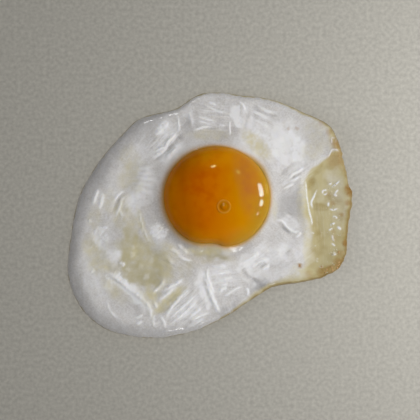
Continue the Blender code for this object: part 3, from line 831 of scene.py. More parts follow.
def relief(x, y):
    """Height of every fold, lump and hollow at each place, and how white it is, from -1 to 1: raised places
    are whiter, partly as painted highlight, and creases greyer, as painted shade.
    """
    # The paths are followed on a slightly warped plan, so that no welt is ruler straight.
    bent_x, bent_y = warped(x, y, 0.4, 3.6, (3.1, 7.7))
    broken = 1 + 0.5 * uneven(x, y, 2.0 * MM, 5.3) + 0.5 * uneven(x, y, 0.9 * MM, 9.3)
    height = np.zeros(x.shape)
    white = np.zeros(x.shape)
    for half_width, rise, whiteness, path in FOLDS:
        gap, from_end, length = along_path(bent_x, bent_y, path)
        fade = smooth_step(from_end / min(FADE_SHARE * length, FADE_LENGTH))
        section = fade * bell(gap, 0, half_width * MM) * broken
        height += FOLD_RISE * rise * MM * section
        white += FOLD_WHITENESS * whiteness * section
    for first, last in STRIPES:
        gap, from_end, length = along_path(bent_x, bent_y, [first, last])
        section = smooth_step(from_end / (FADE_SHARE * length)) * bell(gap, 0, STRIPE_HALF_WIDTH)
        height += STRIPE_RISE * section
        white += 0.5 * section
    along, across, number, strength = brushed(x, y)
    streaks = uneven(along * STREAK_PRESS, across + number * STREAK_APART * MM, STREAK_WIDTH, 35.5)
    height += STREAK_RISE * strength * streaks
    white += 0.6 * strength * streaks

    # Frost, lumps and whiter places have uneven borders, so that none reads as a disc.
    cloud_x, cloud_y = warped(x, y, 2.2, 2.8, (65.5, 67.5))
    for at_x, at_y, radius, strength in FROST_AND_GLINTS:
        specks = np.clip(3.2 * uneven(x, y, FROST_GRAIN, at_x) + 0.15, 0, 1)
        zone = strength * smooth_step(1.4 - oval(cloud_x, cloud_y, at_x, at_y, radius, radius, 0))
        height += FROST_RISE * zone * specks
        white += zone * (0.12 + 0.88 * specks)
    lump_x, lump_y = warped(x, y, 0.8, 1.4, (61.5, 63.5))
    for at_x, at_y, radius, rise in LUMPS:
        dome = np.maximum(1 - oval(lump_x, lump_y, at_x, at_y, radius, radius, 0) ** 2, 0)
        height += LUMP_RISE * rise * MM * smooth_step(dome)
        white += 1.2 * rise * smooth_step(dome)
    for *place, strength in WHITER_AND_PAINTED_HIGHLIGHT_PATCHES:
        white += strength * broken * smooth_step(1.6 - oval(cloud_x, cloud_y, *place))
    for *place, depth in HOLLOWS:
        height -= depth * MM * np.exp(-(oval(x, y, *place) ** 3))
    return height, np.clip(white, -1, 1)


# %% [markdown]
# ## The white as a grid
#
# The skin of the white is one closed surface, so it can be drawn as rings of points round the
# yolk: out of the yolk's bed, over the top, round the edge and back under to the middle. Each
# ring has a point at every bearing. A height rule sets how high each point lies, and the rings
# stand closer together near the edge, where the top turns down.

# %% The white's surface
SECTORS = 920
TOP_RINGS = 94
BED_RINGS = 5
EDGE_RINGS = 5
BED_OVERLAP = 0.05 * MM
RING_CROWDING = 1.25  # above 1, the rings stand closer together near the edge
CALM_MARGIN = 3 * MM
RAGGED_SOFT = 0.12
RAGGED_CRISP = 0.35
ROLLING = [(0.3, 7, 11.5), (0.12, 2.4, 13.5)]  # rise, grain, seed


def edge_lift(bearings):
    return np.maximum(round_the_egg(EDGE_LIFT, bearings), 0)


def white_outline(bearings):
    """The outline, with the fine ragged line of a set edge."""
    outline = round_the_egg(WHITE_OUTLINE, bearings)
    x = outline * np.cos(bearings)
    y = outline * np.sin(bearings)
    crisp = strip_share(x * 0.97, y * 0.97, 4 * MM)
    ragged = (RAGGED_SOFT + RAGGED_CRISP * crisp) * MM * uneven(x, y, 1.7 * MM, 1.5)
    outline = outline + ragged - 0.2 * MM * crisp + 0.25 * MM * uneven(x, y, 6 * MM, 2.5)
    for axis, turn in enumerate((np.cos(bearings), np.sin(bearings))):
        ahead = float(cad_box[1][axis]) - yolk_middle[axis]
        behind = yolk_middle[axis] - float(cad_box[0][axis])
        outline = np.minimum(outline, np.where(turn > 0, ahead, behind) / np.maximum(np.abs(turn), 0.01))
    return outline


def white_top(reach, bearings, outline):
    """Height of the white's upper surface at each place, and how white the place is, with its painted
    highlights and painted shade.
    """
    yolk_edge = round_the_egg(YOLK_OUTLINE, bearings)
    x = reach * np.cos(bearings)
    y = reach * np.sin(bearings)
    spread = round_the_egg(SPREAD_THICKNESS, bearings)
    widest_at = round_the_egg(EDGE_WIDEST_AT, bearings)
    strip = strip_share(x, y, STRIP_STEP)
    spread = spread + strip * (STRIP_THICKNESS - spread)
    from_yolk = np.maximum(reach - yolk_edge, 0)
    collar = (BED_LIP - spread) * np.exp(-((from_yolk / COLLAR_FALL) ** 1.4))
    folds, white = relief(x, y)
    rolling = sum(rise * MM * uneven(x, y, grain * MM, seed) for rise, grain, seed in ROLLING)
    calm = smooth_step(from_yolk / CALM_MARGIN) * smooth_step((outline - reach) / CALM_MARGIN)
    film = FILM_CLIMB * np.exp(-from_yolk / FILM_REACH)
    thickness = np.maximum(spread + collar + film + (folds + rolling) * calm, LEAST_THICKNESS)
    inward = np.clip((outline - reach) / round_the_egg(EDGE_ROUNDING, bearings), 0, 1)
    rounded = np.sqrt(1 - (1 - inward) ** 2)
    lift = edge_lift(bearings) * smooth_step(1 - (outline - reach) / FOOT_INSET)
    # Painted light and shade on the ring beside the yolk.
    painted_collar_light = bell(from_yolk / MM, 2, 2.4) * round_the_egg(COLLAR_PAINTED_LIGHT_AND_SHADE, bearings) / MM
    return lift + widest_at + (thickness - widest_at) * rounded, np.clip(white * calm + painted_collar_light, -1, 1)


def white_rings():
    """Arrays of x, y and z, one row a ring, with the whiteness and its painted light and shade, and the share
    of underside.
    """
    bearings = bearings_of(SECTORS)
    yolk_edge = round_the_egg(YOLK_OUTLINE, bearings) - BED_OVERLAP
    outline = white_outline(bearings)
    lift = edge_lift(bearings)
    widest_at = round_the_egg(EDGE_WIDEST_AT, bearings)
    rows = []
    for share in np.linspace(0.2, 0.95, BED_RINGS):
        depth = BED_DEPTH * math.sqrt(1 - share**2)
        rows.append((yolk_edge * share, np.full(SECTORS, BED_LIP - depth), 0.0))
    shares = 1 - (1 - np.linspace(0, 1, TOP_RINGS)[:-1]) ** RING_CROWDING
    reach = yolk_edge + shares[:, None] * (outline - yolk_edge)
    heights, white = white_top(reach, bearings[None, :] + 0 * reach, outline[None, :])
    top_start = len(rows)
    rows.extend((reach[k], heights[k], 0.0) for k in range(len(shares)))
    for turn in np.linspace(0, math.pi / 2, EDGE_RINGS):
        inset = UNDERCUT * (1 - math.cos(turn))
        rows.append((outline - inset, lift + widest_at * (1 - math.sin(turn)), 0.5 * math.sin(turn)))
    for share in (0.3, 0.65, 1.0):
        drop = lift * smooth_step(1 - share)
        rows.append((outline - UNDERCUT - share * (FOOT_INSET - UNDERCUT), drop, 1.0))
    for share in (0.66, 0.33):
        rows.append((share * (outline - FOOT_INSET), 0 * outline, 1.0))
    reach = np.array([row[0] for row in rows])
    z = np.array([row[1] for row in rows])
    under = np.array([np.full(SECTORS, row[2]) for row in rows])
    whiteness = np.zeros(reach.shape)
    whiteness[top_start:top_start + len(white)] = white
    return reach, z, under, whiteness, bearings, outline


reach, height, under, whiteness, bearings, outline = white_rings()
print("rings:", len(reach), "highest point of the white, mm:", round(height.max() / MM, 2))

# %% [markdown]
# ## Where the white is golden, thin or browned
#
# Colour follows the cooking. Thick white is opaque. Where it is thin, in the pocket and under the
# yolk, the ground shows through as olive grey. The strip on the right fried dry: it is golden
# and half clear, with brown spots where the fat spat. Some fields are painted shade instead:
# greyer patches in hollows and creases, a greyer rim on the side away from the light, and the dark
# line round the edge, which is browning on the right and painted shade elsewhere. These fields are
# worked out once for each point and stored on the mesh as named attributes, which the material then
# reads.

# %% Colour fields
BROWN_SPOTS = [  # x, y, radius, strength
    (52, 2.8, 1.7, 0.9), (51.8, 0.6, 1, 0.6), (51.2, -2.6, 1.1, 0.6), (48.8, -7.2, 0.9, 0.35),
    (50.1, -18.2, 1.1, 0.9), (48.1, -22.2, 1.2, 0.35), (47.5, -26.3, 2, 0.55), (44.5, -28.6, 1.6, 0.45),
    (40.8, -29.5, 1.7, 0.4), (32.4, -27.1, 1, 0.7), (32, -27, 0.5, 0.6), (45.8, -16.3, 1.2, 0.25),
    (46, 14, 3, 0.4), (45.2, -2.8, 0.9, 0.4), (43.6, 1, 1, 0.25), (45.6, -13.6, 0.8, 0.3),
    (27.8, 26.3, 0.6, 0.35), (31.3, 26.4, 0.6, 0.35), (35.9, -30.6, 1.6, 0.3), (49.6, 10.5, 1.4, 0.2),
    (46.6, 19.8, 1.6, 0.5), (43.6, 25, 1.3, 0.35), (40.8, 28.6, 1.1, 0.3), (48.4, 16.6, 1.3, 0.35),
    (48.8, 13.5, 1.4, 0.2), (45.5, 21.5, 1.5, 0.3),
]
DEEP_GOLD = [  # x, y, long half, short half, bearing, strength: thin places of the strip
    (37.2, 5.3, 2.6, 1.6, 60, 0.9), (40.3, -4.1, 2.8, 1.6, 5, 1), (39.5, -11, 5, 2.2, -80, 0.45),
    (48.5, -7.2, 1.6, 1.5, 0, 1), (45.5, -1.2, 2.4, 1.8, 0, 0.6), (41, 11, 3, 1.4, 50, 0.5),
    (39, -20, 6, 2.6, 90, 0.5), (48, -17, 6, 1.4, 80, 0.4), (45.4, -24.6, 3, 2, 30, 0.5),
    (49.5, 8, 5, 1.4, -80, 0.3), (46.6, 20.5, 6, 1.2, -60, 0.8), (43.4, -29.2, 6, 1.8, 20, 1),
]
THIN_PATCHES = [  # x, y, long half, short half, bearing, strength
    (-33.4, -18.6, 6.5, 4, -78, 0.6), (-37.6, -19, 2.4, 3.4, 0, 0.4), (-20.4, -27.4, 5, 3, -70, 0.55),
    (-29.5, -25.5, 8, 6.8, -60, 0.9), (-24.8, -34.5, 5, 2.4, -62, 0.7), (-34, 9, 6, 2.6, 60, 0.5),
    (-37.5, -7, 6, 2.2, 70, 0.4), (-33.5, -31, 5, 2.6, -40, 0.6), (-17.6, -40.2, 7.5, 1.8, 42, 0.6),
    (-3.5, -22.6, 7.5, 2.2, -8, 0.9), (-47, -21, 5, 6, 0, 0.35), (-37, -37, 6, 3.5, -30, 0.35),
    (-12, -28, 5, 3, 30, 0.35),
]
CREAM_PATCHES = [  # x, y, long half, short half, bearing, strength: where the white is tinged with yellow
    (15.4, 20, 6.6, 2.6, -46, 0.8), (-18.5, -40.3, 7.5, 1.6, 42, 0.8), (-3.5, -21, 8, 1.6, 0, 0.7),
    (-18.3, -21.7, 4.5, 2.6, -50, 0.5), (-27.5, -39.6, 5, 1.8, -50, 0.45), (-47, -21.7, 3.5, 2.5, 0, 0.35),
    (-40.5, -28, 2.6, 2.6, 0, 0.4), (-41.7, -2.2, 2.5, 4.5, 0, 0.3), (-31.3, 4.3, 2.5, 3, 0, 0.3),
    (-35.2, 16, 2.5, 4, -30, 0.3), (-31.6, -11.3, 1.6, 3, 0, 0.3), (-22.2, -34.7, 2.6, 2, 40, 0.4),
    (-2.7, 23.8, 7, 2, 0, 0.4), (32.8, -2, 7, 1.6, 90, 0.4), (35, -20, 5, 1.5, 90, 0.4),
    (31.7, -28.5, 3, 2, 0, 0.35), (36.9, 17.3, 4, 3, 0, 0.3), (-29.3, -10, 5, 1.2, -75, 0.5),
    (-26.4, -16.5, 3, 1.2, -60, 0.5), (-34, 9, 6, 3, 60, 0.3), (-41, -35, 4.5, 2.5, -45, 0.4),
    (34.6, -6, 12, 1.5, 92, 0.35), (40, 24, 7, 4, -45, 0.25), (22.4, -5, 4, 1, 90, 0.4),
    (-25.3, -38, 4, 1.4, -60, 0.8), (-20.4, -28, 6, 2.6, -70, 0.5), (-45.6, -27, 4, 3, 0, 0.5),
    (-47.4, -8.6, 2.6, 4.5, 0, 0.3), (-34, -8.6, 2, 4, 0, 0.4), (-28, -24, 7, 3.4, -63, 0.45),
    (-33, -22.3, 2.4, 1.5, 80, 0.5), (-37, -4, 5, 1.8, 65, 0.35), (-48.5, -19, 3, 4, 0, 0.25),
    (33, -30.5, 6, 1.6, 15, 0.5),
]
# Painted shade: greyer patches in hollows, creases and shallow places.
PAINTED_SHADE_PATCHES = [  # x, y, long half, short half, bearing, strength
    (28, -4, 7, 4, 75, 0.5), (16.3, -34.5, 3.6, 2.4, 25, 0.7), (-24.5, -6, 2, 6, 0, 0.1),
    (4, 24.5, 4, 2, 10, 0.3), (-10.5, 28.5, 3.5, 4.5, 15, 0.3), (36.5, 23, 6, 4, -40, 0.2),
    (20, -25.5, 4, 2.5, 20, 0.3), (-20, 17.4, 4.5, 1.4, 45, 0.5), (33.4, -5, 6, 1.8, 92, 0.4),
    (32.4, 14, 3, 2.5, 0, 0.3), (4.4, -44, 5, 1.8, 25, 0.4), (-26, 27.4, 7, 3.4, 48, 0.35),
    (-27.4, -10, 1.6, 3, 0, 0.2), (-39.8, -27.4, 2.2, 1.8, 0, 0.4), (-45.5, 8, 3, 6, -15, 0.25),
]
CLEAR_PATCHES = [  # x, y, long half, short half, bearing, strength: where the strip is paler
    (47.8, -4, 9, 2.2, 88, 0.18), (46.8, 6, 3.5, 2.5, 0, 0.2), (50.8, -8, 8, 1, 88, 0.25),
]
GOLD_MARGIN = [  # bearing, how far in from the edge the gold reaches
    (0, 4), (15, 4.6), (22, 4.6), (30, 3), (36, 1.8), (45, 1.4), (60, 0.8), (90, 0.5), (262, 0.4),
    (280, 1.6), (290, 2.3), (300, 2.5), (314, 4.3), (330, 5.4),
]
# The dark line round the edge: browning on the fried right side, painted shade along the edge elsewhere.
EDGE_LINE = [  # bearing, how far in from the edge its dark line reaches
    (0, 1.4), (30, 1.3), (45, 0.6), (90, 0.35), (200, 0.4), (270, 0.4), (300, 1), (330, 1.6),
]
EDGE_DEPTH = [  # bearing, how strong that line is: 1 is full
    (0, 1), (12, 0.5), (22, 0.6), (32, 1), (45, 0.6), (60, 0.4), (90, 0.3), (135, 0.3), (225, 0.3),
    (262, 0.4), (285, 1), (315, 1), (335, 1), (348, 1),
]
RIM_SHADE = [  # bearing, how far in from the edge the rim is painted greyer: painted shade where the edge turns from the light
    (0, 0.5), (90, 0.5), (112, 2), (132, 5.5), (160, 7.4), (210, 7), (235, 7), (255, 6.4), (285, 2.4),
    (320, 0.5),
]
YOLK_GLOW = [  # bearing, how far the yolk shows through the film of white over its edge
    (0, 0.7), (15, 0.9), (30, 1.3), (45, 1.1), (60, 0.6), (80, 0.6), (100, 0.7), (120, 1), (150, 1.2),
    (210, 1.2), (240, 1.1), (262, 1.2), (277, 1), (300, 0.9), (330, 0.8),
]
GLOW_DEEP = [  # bearing, how much deeper that film's colour is
    (0, 0.3), (30, 0.9), (55, 0.2), (90, 0), (120, 0), (210, 0.2), (240, 0.5), (265, 0.3), (278, 0),
    (300, 0.6), (330, 0.9),
]


def patches(x, y, ovals):
    """The soft patches added up, held between 0 and 1.3, so that where two meet stays full."""
    total = np.zeros(x.shape)
    for *place, strength in ovals:
        total += strength * smooth_step(1.55 - oval(x, y, *place))
    return np.clip(total, 0, 1.3)


def colour_fields(x, y, reach, bearings, outline):
    """Named values for the material, one for each point."""
    blur = warped(x, y, 1.3, 4, (21.5, 23.5))
    far = warped(x, y, 2.4, 3, (45.5, 47.5))
    near = warped(x, y, 0.5, 1.2, (31.5, 33.5))
    from_yolk = np.maximum(reach - round_the_egg(YOLK_OUTLINE, bearings), 0)
    from_edge = (outline - reach) + 0.5 * MM * uneven(x, y, 2 * MM, 27.5)

    # The strip's gold starts softer in its lower half, and the rim is golden all along it.
    low = smooth_step(-y / (8 * MM))
    golden = strip_share(blur[0] + (0.3 + 0.7 * low) * MM, blur[1], (1.6 + low) * MM, 1.0 * MM)
    rim_gold = smooth_step(1.2 - from_edge / round_the_egg(GOLD_MARGIN, bearings))
    deep_rim = (0.15 + 0.6 * low) * smooth_step(1.3 - from_edge / (2.2 * MM))
    deep = patches(*blur, DEEP_GOLD) + deep_rim + 0.5 * uneven(x, y, 3 * MM, 41.5)

    glow = np.exp(-((from_yolk / round_the_egg(YOLK_GLOW, bearings)) ** 1.5))
    glow_share, edge_share = (
        np.clip(round_the_egg(knots, bearings) / MM, 0, 1) for knots in (GLOW_DEEP, EDGE_DEPTH))
    browned_and_shaded_edge = smooth_step(1.2 - from_edge / round_the_egg(EDGE_LINE, bearings))
    cloudy = 1 + 0.8 * uneven(x, y, 2.2 * MM, 43.5)
    dabbed = 1 + 0.7 * uneven(x, y, 1.2 * MM, 49.5)
    spots = [(a, b, r, r, 0, s) for a, b, r, s in BROWN_SPOTS]
    fields = {
        # Painted shade on the rim that turns away from the light.
        "rim_shade": smooth_step((round_the_egg(RIM_SHADE, bearings) - from_edge) / (4 * MM)),
        "yolk_glow": glow,
        "glow_deep": glow * glow_share,
        "golden": np.maximum(golden * (1 - patches(*blur, CLEAR_PATCHES)), rim_gold),
        "cream": patches(*near, CREAM_PATCHES) * dabbed,
        "browned": patches(*near, spots),
        "browned_and_shaded_edge": browned_and_shaded_edge * edge_share,
        "thin": patches(*far, THIN_PATCHES) * cloudy,
        "painted_shade": patches(*blur, PAINTED_SHADE_PATCHES),
        "golden_deep": deep,
        "brushed": brushed(x, y)[3] * smooth_step(from_yolk / (4 * MM)),
        "silky": smooth_step(from_yolk / (12 * MM)),
    }
    return {name: np.clip(value, 0, 1) for name, value in fields.items()}


x = reach * np.cos(bearings)
y = reach * np.sin(bearings)
fields = colour_fields(x, y, reach, bearings[None, :] + 0 * reach, outline[None, :])
fields.update(whiteness=whiteness, under=under)
print("fields:", {name: round(float(value.mean()), 3) for name, value in fields.items()})

# %% [markdown]
# ## The white's mesh
#
# The rings become faces: four-sided between two rings, and a fan of triangles to the one point in
# the middle of the bed and of the underside, so that the skin is closed. A vector attribute gives
# each point its place round the egg, with the reach pressed small. Noise that reads it is drawn
# out into fine streaks that run from the yolk to the edge, like the silk of real set white; in the
# colour their lighter lines are also a painted sheen. A second one does the same for the brushed
# zones, along each zone's own streaks, and its light and dark strokes are painted highlight and
# painted shade on the ripples.

# %% Mesh of the white
SILK_PRESS = 0.12
SILK_RADIUS = 45
BRUSH_PRESS = 0.12
BRUSH_APART = 10


def grid_faces(rings, sectors):
    """Faces of a closed skin of rings, with a pole before the first ring and after the last."""
    here = np.arange(sectors)
    after = (here + 1) % sectors
    faces = [(0, 1 + a, 1 + b) for a, b in zip(here, after)]
    for ring in range(rings - 1):
        low = 1 + ring * sectors
        high = low + sectors
        faces += list(zip(low + here, high + here, high + after, low + after))
    last = 1 + rings * sectors
    edge = 1 + (rings - 1) * sectors
    return faces + [(last, edge + b, edge + a) for a, b in zip(here, after)]


def build_white():
    rings, sectors = reach.shape
    points = np.stack([x + yolk_middle[0], y + yolk_middle[1], height], axis=-1).reshape(-1, 3)
    floor_of_bed = (*yolk_middle, YOLK_BOTTOM - BED_GAP)
    under_middle = (*yolk_middle, 0.0)
    points = np.concatenate([[floor_of_bed], points, [under_middle]])
    faces = [tuple(int(k) for k in face) for face in grid_faces(rings, sectors)]
    mesh = bpy.data.meshes.new("set_white")
    mesh.from_pydata(points.tolist(), [], faces)
    for name, value in fields.items():
        store(mesh, name, np.concatenate([[value.flat[0]], value.reshape(-1), [value.flat[-1]]]))
    ring = [(turn + 0 * reach) * SILK_RADIUS * MM for turn in (np.cos(bearings), np.sin(bearings))]
    silk = np.stack([*ring, reach * SILK_PRESS], axis=-1).reshape(-1, 3)
    along, across, number, strength = brushed(x, y)
    brush = np.stack([along * BRUSH_PRESS, across, number * BRUSH_APART * MM], axis=-1).reshape(-1, 3)
    for name, value in {"silk": silk, "brush": brush}.items():
        value = np.concatenate([[value[0]], value, [value[-1]]]).astype(np.float32)
        mesh.attributes.new(name, "FLOAT_VECTOR", "POINT").data.foreach_set("vector", value.reshape(-1))
    mesh.shade_smooth()
    made = bpy.data.objects.new("set_white", mesh)
    bpy.context.scene.collection.objects.link(made)
    triangles = sum(len(face) - 2 for face in faces)
    print("set_white triangles:", triangles)
    return made


white_piece = build_white()

# %% [markdown]
# ## The white's finish
#
# Set egg white is a soft gel. It scatters light within a millimetre or two, which hides hard
# shadows, and it is wet and fatty on top, which gives small sharp highlights over a silky body.
# A skin with no grain looks like glazed china, so fine streaks and specks break both the colour
# and the bump.

# %% Colours and layers of the white
WHITE_BODY = "#CDC9C5"
# The brightest white is both the thick white and the painted highlights. The crease grey is the paint of all
# painted shade on the white.
WHITE_BRIGHTEST = "#FBFBFC"
WHITE_PAINTED_SHADE = "#8F8E90"
WHITE_THIN = "#C6BE9C"
CREAM = "#DED5AA"
GOLD_PALE = "#CCC196"
GOLD_DEEP = "#AC9860"
FRIED_BROWN = "#A87A38"
# Colour of the dark edge line: browning on the right, painted shade elsewhere.
EDGE_OLIVE = "#80642E"
YOLK_THROUGH = "#E4AC44"
YOLK_THROUGH_DEEP = "#A08630"
PAN_SIDE = "#DCCFAE"
PAN_BROWN = "#A8743A"
WHITE_GRAINS = {  # noise: what it follows, scale (a share of 1 m), detail, roughness
    "streaks": ("silk", 900.0, 4.0, 0.65),
    "strokes": ("brush", 1300.0, 3.0, 0.6),
    "specks": ("place", 1400.0, 3.0, 0.7),
    "clouds": ("place", 220.0, 4.0, 0.6),
}
WHITE_LAYERS = [  # paint, what is laid over it, what gives the share, its range, the share's range, field
    ("gold", GOLD_DEEP, "clouds", (0.35, 0.65), (0.3, 1), "golden_deep"),
    ("fried", PAN_BROWN, "clouds", (0.38, 0.68), (0, 0.8), None),
    # Light streaks of the silky grain, which also lay a painted sheen.
    ("body", WHITE_BRIGHTEST, "streaks", (0.3, 0.75), (0, 0.25), "silky"),
    ("body", WHITE_BRIGHTEST, "specks", (0.35, 0.7), (0, 0.5), None),
    ("body", WHITE_BRIGHTEST, "clouds", (0.45, 0.7), (0, 0.2), None),
    ("body", WHITE_THIN, "clouds", (0.3, 0.6), (0.6, 1), "thin"),
    # Painted shade in hollows and creases.
    ("body", WHITE_PAINTED_SHADE, "painted_shade", (0, 1), (0, 0.7), None),
    ("body", "gold", "golden", (0, 1), (0, 1), None),
    # Light and dark strokes along the ripples: their grain, with painted highlight and painted shade on their
    # sides.
    ("body", WHITE_BRIGHTEST, "strokes", (0.5, 0.68), (0, 0.9), "brushed"),
    ("body", WHITE_PAINTED_SHADE, "strokes", (0.48, 0.34), (0, 0.35), "brushed"),
    # Whiteness above 0 lays the thicker white and painted highlights. Below 0 it lays painted shade in
    # creases.
    ("body", WHITE_BRIGHTEST, "whiteness", (0, 0.8), (0, 0.95), None),
    ("body", WHITE_PAINTED_SHADE, "whiteness", (0, -1), (0, 0.6), None),
    ("body", CREAM, "cream", (0, 1), (0, 0.7), None),
    ("body", FRIED_BROWN, "specks", (0.3, 0.6), (0.55, 1), "browned"),
    ("body", WHITE_PAINTED_SHADE, "rim_shade", (0, 1), (0, 0.28), None),
    ("body", EDGE_OLIVE, "browned_and_shaded_edge", (0, 1), (0, 0.65), None),
    ("body", YOLK_THROUGH, "yolk_glow", (0, 1), (0, 0.97), None),
    ("body", YOLK_THROUGH_DEEP, "glow_deep", (0, 1), (0, 0.9), None),
    ("body", "fried", "under", (0, 1), (0, 1), None),
]
WHITE_BUMPS = [  # grain, field that holds it to its place, strength, depth in mm
    ("streaks", "silky", 0.07, 0.1),
    ("strokes", "brushed", 0.5, 0.2),
    ("specks", None, 0.3, 0.05),
]
WHITE_FINISH = {
    "IOR": 1.38,
    "Subsurface Weight": 0.25,
    "Subsurface Radius": (1.0, 0.9, 0.7),
    "Subsurface Scale": 0.4 * MM,
    "Coat Weight": 0.8,
    "Coat Roughness": 0.12,
    "Coat IOR": 1.45,
}


# %% Set egg white
def set_egg_white():
    """Set egg white, wet with fat: a soft gel that is silky inside and sharp in its highlights."""
    material, tree, shader = new_material("set_egg_white_fried", WHITE_FINISH)
    known = {
        name: add(tree, "ShaderNodeAttribute", {"attribute_name": name}).outputs["Fac"]
        for name in fields
    }
    for name in ("silk", "brush"):
        known[name] = add(tree, "ShaderNodeAttribute", {"attribute_name": name}).outputs["Vector"]
    known["place"] = add(tree, "ShaderNodeTexCoord").outputs["Object"]
    for name, (follows, scale, detail, roughness) in WHITE_GRAINS.items():
        known[name] = add(tree, "ShaderNodeTexNoise", inputs={
            "Vector": known[follows], "Scale": scale, "Detail": detail, "Roughness": roughness}).outputs[0]

    paint = {"body": colour(WHITE_BODY), "gold": colour(GOLD_PALE), "fried": colour(PAN_SIDE)}
    for name, over, source, (low, high), (to_low, to_high), field in WHITE_LAYERS:
        share = add(tree, "ShaderNodeMapRange", inputs={
            "Value": known[source], "From Min": low, "From Max": high, "To Min": to_low,
            "To Max": to_high}).outputs[0]
        if field:
            share = add(tree, "ShaderNodeMath", {"operation": "MULTIPLY"}, {
                0: share, 1: known[field]}).outputs[0]
        above = paint[over] if over in paint else colour(over)
        paint[name] = add(tree, "ShaderNodeMix", {"data_type": "RGBA"}, {
            0: share, 6: paint[name], 7: above}).outputs[2]
    tree.links.new(paint["body"], shader.inputs["Base Color"])

    wet = add(tree, "ShaderNodeMapRange", inputs={
        "Value": known["specks"], "From Min": 0.3, "From Max": 0.7, "To Min": 0.3, "To Max": 0.5}).outputs[0]
    tree.links.new(wet, shader.inputs["Roughness"])
    normal = {}
    for name, field, strength, depth in WHITE_BUMPS:
        grain = known[name]
        if field:
            grain = add(tree, "ShaderNodeMath", {"operation": "MULTIPLY"}, {
                0: grain, 1: known[field]}).outputs[0]
        normal["Normal"] = add(tree, "ShaderNodeBump", inputs={
            "Strength": strength, "Distance": depth * MM, "Height": grain, **normal}).outputs[0]
    tree.links.new(normal["Normal"], shader.inputs["Normal"])
    return material


white_finish = set_egg_white()
white_piece.data.materials.append(white_finish)
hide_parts("egg_white")
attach(white_piece, "root")

# %% [markdown]
# ## Blisters and crumbs
#
# Where the thin edge fried dry, small beads of fat stand on it, each with its own point of light,
# and brown crumbs cling to its rim. Many small things of one kind are work for Geometry Nodes: the
# script only says where they sit, how long and slim they are and which way they point. One tree
# sets a bead on every such point, varies it with a fixed seed, and makes it real. The beads' middles
# lie under the surface, so that only a low cap of each shows.

# %% Geometry Nodes tree of the beads
def bead_tree():
    tree, given = new_tree("beads_on_a_surface", {
        "Flatness": "Float", "Unevenness": "Float", "Seed": "Int", "Finish": "Material"})
    half_length, half_width, turn = (
        add(tree, "GeometryNodeInputNamedAttribute", inputs={"Name": name}).outputs[0]
        for name in ("half_length", "half_width", "turn"))
    bead = add(tree, "GeometryNodeMeshIcoSphere", inputs={"Radius": 1.0, "Subdivisions": 2})
    corners = []
    for operation in ("SUBTRACT", "ADD"):
        limit = add(tree, "ShaderNodeMath", {"operation": operation}, {
            0: 1.0, 1: given["Unevenness"]}).outputs[0]
        corners.append(add(tree, "ShaderNodeCombineXYZ", inputs={0: limit, 1: limit, 2: limit}).outputs[0])
    vary = add(tree, "FunctionNodeRandomValue", {"data_type": "FLOAT_VECTOR"}, {
        0: corners[0], 1: corners[1], "Seed": given["Seed"]}).outputs[0]
    rise = add(tree, "ShaderNodeMath", {"operation": "MULTIPLY"}, {
        0: half_width, 1: given["Flatness"]}).outputs[0]
    size = add(tree, "ShaderNodeCombineXYZ", inputs={0: half_length, 1: half_width, 2: rise}).outputs[0]
    size = add(tree, "ShaderNodeVectorMath", {"operation": "MULTIPLY"}, {0: size, 1: vary}).outputs[0]
    turned = add(tree, "ShaderNodeCombineXYZ", inputs={2: turn}).outputs[0]
    placed = add(tree, "GeometryNodeInstanceOnPoints", inputs={
        "Points": given["Geometry"], "Instance": bead.outputs[0], "Rotation": turned, "Scale": size})
    real = add(tree, "GeometryNodeRealizeInstances", inputs={0: placed.outputs[0]})
    smooth = add(tree, "GeometryNodeSetShadeSmooth", inputs={0: real.outputs[0]})
    finished = add(tree, "GeometryNodeSetMaterial", inputs={
        0: smooth.outputs[0], "Material": given["Finish"]})
    add(tree, "NodeGroupOutput", inputs={0: finished.outputs[0]})
    return tree


# %% Where the beads sit
LOOSE_BEADS = 70
BEAD_BAND = (45.6, 1.8)  # middle and spread of x
BEAD_SPAN = (-27, 7)  # least and greatest y
BEAD_SIZE = (0.17, 0.36)
CRUMB_SIZE = (0.2, 0.4)
CRUMB_SPREAD = 0.9
CRUMB_INSET = 0.8 * MM
CRUMB_SPOTS = [(48.4, -22.6), (47.4, -26.4), (45, -27.8), (42.4, -28.6)]
CRUMBS_A_SPOT = 5
SUNK = 0.65


def surface_at(x, y):
    """Height of the white's surface at places given in metres from the middle of the yolk."""
    turns = np.arctan2(y, x)
    return white_top(np.hypot(x, y), turns, round_the_egg(WHITE_OUTLINE, turns))[0]


def bead_points(name, x, y, half_length, half_width, turn):
    """A mesh of points a little under the white's surface, each with the size and turn of its bead."""
    mesh = bpy.data.meshes.new(name)
    z = surface_at(x, y) - SUNK * half_width
    mesh.from_pydata(np.stack([x + yolk_middle[0], y + yolk_middle[1], z], axis=1).tolist(), [], [])
    store(mesh, "half_length", half_length)
    store(mesh, "half_width", half_width)
    store(mesh, "turn", turn)
    return mesh


def bead_places(chance):
    """Loose beads of fat scattered over the thin strip."""
    x = chance.normal(*BEAD_BAND, LOOSE_BEADS) * MM
    y = chance.uniform(*BEAD_SPAN, LOOSE_BEADS) * MM
    size = chance.uniform(*BEAD_SIZE, LOOSE_BEADS) * MM
    return x, y, size * chance.uniform(1, 2, LOOSE_BEADS), size, chance.uniform(0, math.pi, LOOSE_BEADS)


